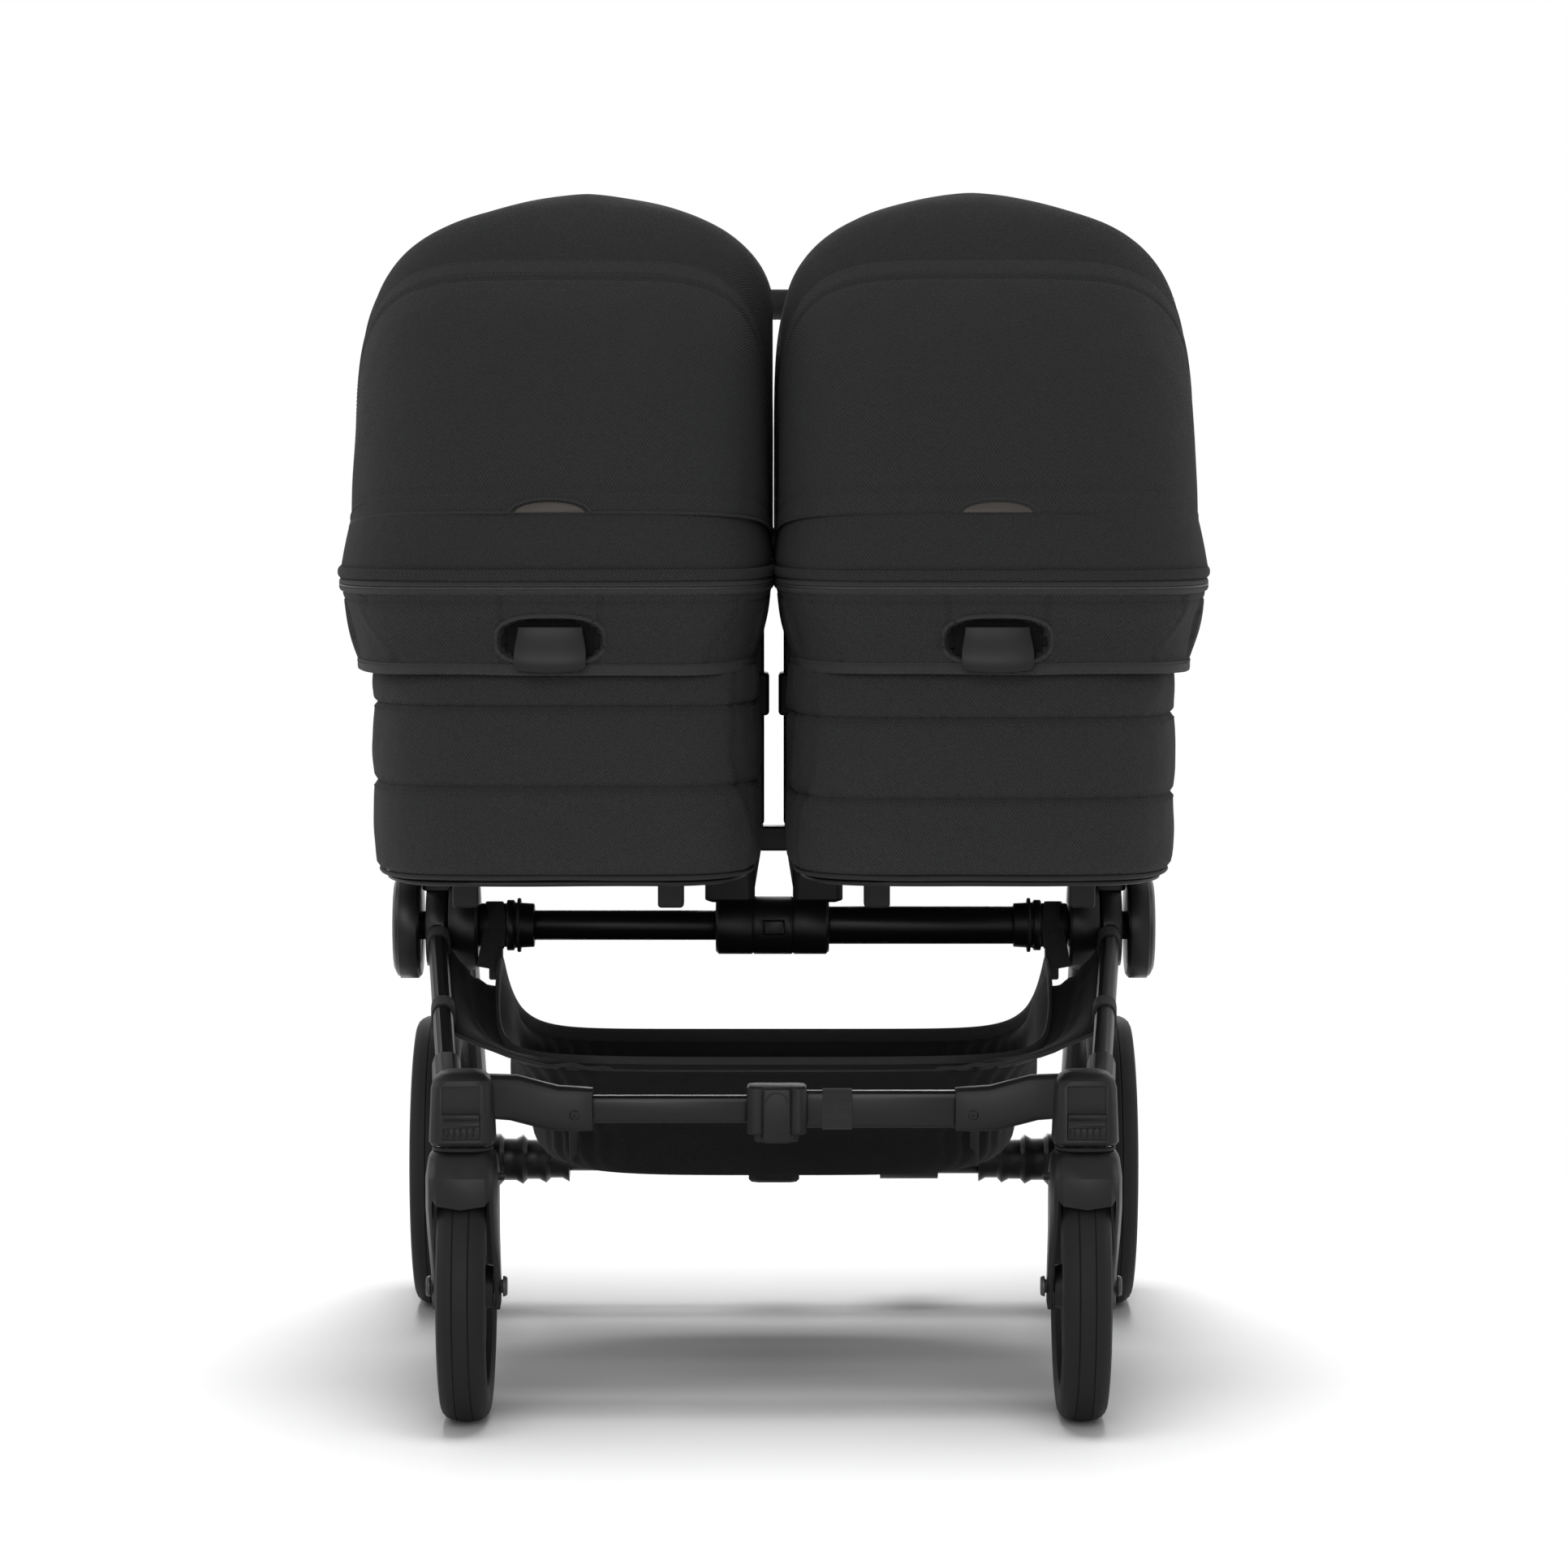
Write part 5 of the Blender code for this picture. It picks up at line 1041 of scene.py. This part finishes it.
def middle_fittings():
    """The clamp lever's notch, the loop on the thick bar, the basket's bound corners and the grip's seam."""
    notch = []
    for t in np.linspace(0, pi, 25):
        notch.append((0.0025 + 0.0098 * cos(t), -0.4609, 0.3 + 0.0085 * sin(t)))
    strip("lever_notch", notch, 0.0007, 0.0007, PLASTIC, "front_bar_lever")
    loop = [(x, BAR_Y, BAR_Z) for x in np.linspace(0.044, 0.071, 9)]
    strip("bar_loop", loop, 0.0104, 0.0186, WEBBING, "frame", power=4.0, count=36)
    for label, side in SIDES:
        path = []
        for at in shares(14):
            ring = basket_level(mix(0.03, 0.52, at), 0.0018)
            near = sorted((p for p in ring if p.y < -0.15), key=lambda q: q.x)
            xs = [q.x for q in near]
            y, z = (float(np.interp(side * 0.19, xs, [q[axis] for q in near])) for axis in (1, 2))
            path.append((side * 0.19, y - 0.0016, z))
        strip(
            "basket_low_binding_" + label, path, 0.0045, 0.001, BINDING, "frame", up=(0, -1, 0), power=4.0)
    seam = [(x, GRIP_Y, GRIP_Z - 0.0162) for x in np.linspace(-0.27, 0.27, 60)]
    stitches("grip_stitches", seam, lambda p: Vector((0, 0, -1)), "handlebar_upper", pitch=0.005, size=0.00055)
    welt = [(x, GRIP_Y + 0.0006, GRIP_Z - 0.0158) for x in np.linspace(-0.282, 0.282, 40)]
    strip("grip_seam", welt, 0.0011, 0.0008, GRIP, "handlebar_upper", up=(0, 0, -1))


for label, side in SIDES:
    leg_straps(label, side)
    bar_fittings(label, side)
    hub_strap(label, side)
middle_fittings()


# Materials of the CAD pieces that show as they are

LOOKS = {
    TUBE: (
        "axle_tube", "front_bar_left", "front_bar_right", "front_leg", "handle_tube", "handlebar_upper", "rear_beam",
        "rear_leg"),
    SATIN: ("hub_collar", "fork", "seat_adapter", "centre_hub", "front_bar_lever", "width_button"),
    PLASTIC: (
        "caster_housing", "swivel_lock", "centre_bracket", "front_bar_clamp", "rear_clamp", "brake_pedal",
        "front_rim", "rear_rim", "height_clamp"),
    STEEL: ("front_axle",),
    GRIP: ("handle_grip",),
}
for node_name in NODES:
    for material, starts in LOOKS.items():
        if node_name.startswith(starts):
            paint(node_name, material)


# Floor, light and camera

def mix_out(tree, kind, factor, first, second):
    """Two shaders mixed by a factor, led into the tree's output."""
    blend = node(tree, "ShaderNodeMixShader")
    outputs = (factor, first.outputs[0], second.outputs[0])
    for output, socket in zip(outputs, blend.inputs):
        tree.links.new(output, socket)
    tree.links.new(blend.outputs[0], node(tree, kind).inputs["Surface"])


def floor():
    """A pale floor that keeps the shadow and fades out away from the pram."""
    size = 14.0
    mesh = bpy.data.meshes.new("floor")
    mesh.from_pydata([(-size, -size, 0), (size, -size, 0), (size, size, 0), (-size, size, 0)], [], [(0, 1, 2, 3)])
    obj = bpy.data.objects.new("floor", mesh)
    SCENE.collection.objects.link(obj)
    material = bpy.data.materials.new("pale_floor")
    material.use_nodes = True
    tree = material.node_tree
    tree.nodes.clear()
    pale = node(tree, "ShaderNodeBsdfDiffuse", Color=(0.92, 0.92, 0.925, 1))
    clear = node(tree, "ShaderNodeBsdfTransparent")
    coords = node(tree, "ShaderNodeTexCoord")
    away = node(tree, "ShaderNodeVectorMath", operation="LENGTH")
    fade = node(
        tree, "ShaderNodeMapRange", interpolation_type="SMOOTHSTEP", **{"From Min": 0.75, "From Max": 1.6})
    tree.links.new(coords.outputs["Object"], away.inputs[0])
    tree.links.new(away.outputs["Value"], fade.inputs["Value"])
    mix_out(tree, "ShaderNodeOutputMaterial", fade.outputs[0], pale, clear)
    mesh.materials.append(material)
    return obj


def lamp(name, place, target, size, power, size_y=None, on_ground=False):
    """A soft rectangle of light, for the floor alone or for everything but the floor."""
    data = bpy.data.lights.new(name, "AREA")
    data.shape = "RECTANGLE"
    data.size = size
    data.size_y = size_y or size
    data.energy = power
    obj = bpy.data.objects.new(name, data)
    obj.location = place
    obj.rotation_euler = (Vector(target) - Vector(place)).to_track_quat("-Z", "Y").to_euler()
    SCENE.collection.objects.link(obj)
    chosen = bpy.data.collections.new(name + "_receivers")
    chosen.objects.link(ground)
    obj.light_linking.receiver_collection = chosen
    chosen.collection_objects[0].light_linking.link_state = "INCLUDE" if on_ground else "EXCLUDE"


def world():
    """White to the camera and through glass or in gloss, and a weak light on everything."""
    SCENE.world = bpy.data.worlds.new("studio")
    SCENE.world.use_nodes = True
    tree = SCENE.world.node_tree
    tree.nodes.clear()
    lit = node(tree, "ShaderNodeBackground", Color=(1, 1, 1, 1), Strength=0.13)
    seen = node(tree, "ShaderNodeBackground", Color=(1, 1, 1, 1), Strength=1.0)
    path = node(tree, "ShaderNodeLightPath")
    shown = path.outputs["Is Camera Ray"]
    for other in ("Is Glossy Ray", "Is Transmission Ray"):
        either = node(tree, "ShaderNodeMath", operation="MAXIMUM")
        tree.links.new(shown, either.inputs[0])
        tree.links.new(path.outputs[other], either.inputs[1])
        shown = either.outputs[0]
    mix_out(tree, "ShaderNodeOutputWorld", shown, lit, seen)


def camera():
    """The photograph's camera, solved from the widths over the wheels."""
    data = bpy.data.cameras.new("camera")
    data.sensor_width = 36
    data.lens = 124.6
    data.clip_end = 60
    obj = bpy.data.objects.new("camera", data)
    obj.location = (0, -5.348, 0.93)
    obj.rotation_euler = (radians(90 - 3.987), 0, radians(-0.107))
    SCENE.collection.objects.link(obj)
    SCENE.camera = obj


ground = floor()
world()
lamp("ground_soft", (0, 0.2, 3.3), (0, 0.1, 0), 1.7, 165, 4.0, on_ground=True)
lamp("ground_front", (0, -4.6, 1.7), (0, -0.2, 0), 3.4, 90, on_ground=True)
lamp("ground_fill", (0, 0, 3.3), (0, 0, 0), 7.0, 55, on_ground=True)
lamp("key_soft", (-0.6, -4.7, 2.2), (0, 0, 0.7), 2.4, 92)
lamp("front_soft", (0, -5.6, 0.8), (0, 0, 0.6), 2.5, 18)
lamp("left_soft", (-3.6, -0.3, 1.5), (0, 0, 0.6), 1.8, 26)
lamp("right_soft", (3.6, -0.3, 1.5), (0, 0, 0.6), 1.8, 26)
lamp("back_soft", (0, 4.6, 1.9), (0, 0, 0.6), 2.8, 80)
camera()
SCENE.view_settings.view_transform = "Standard"

bpy.context.view_layer.update()
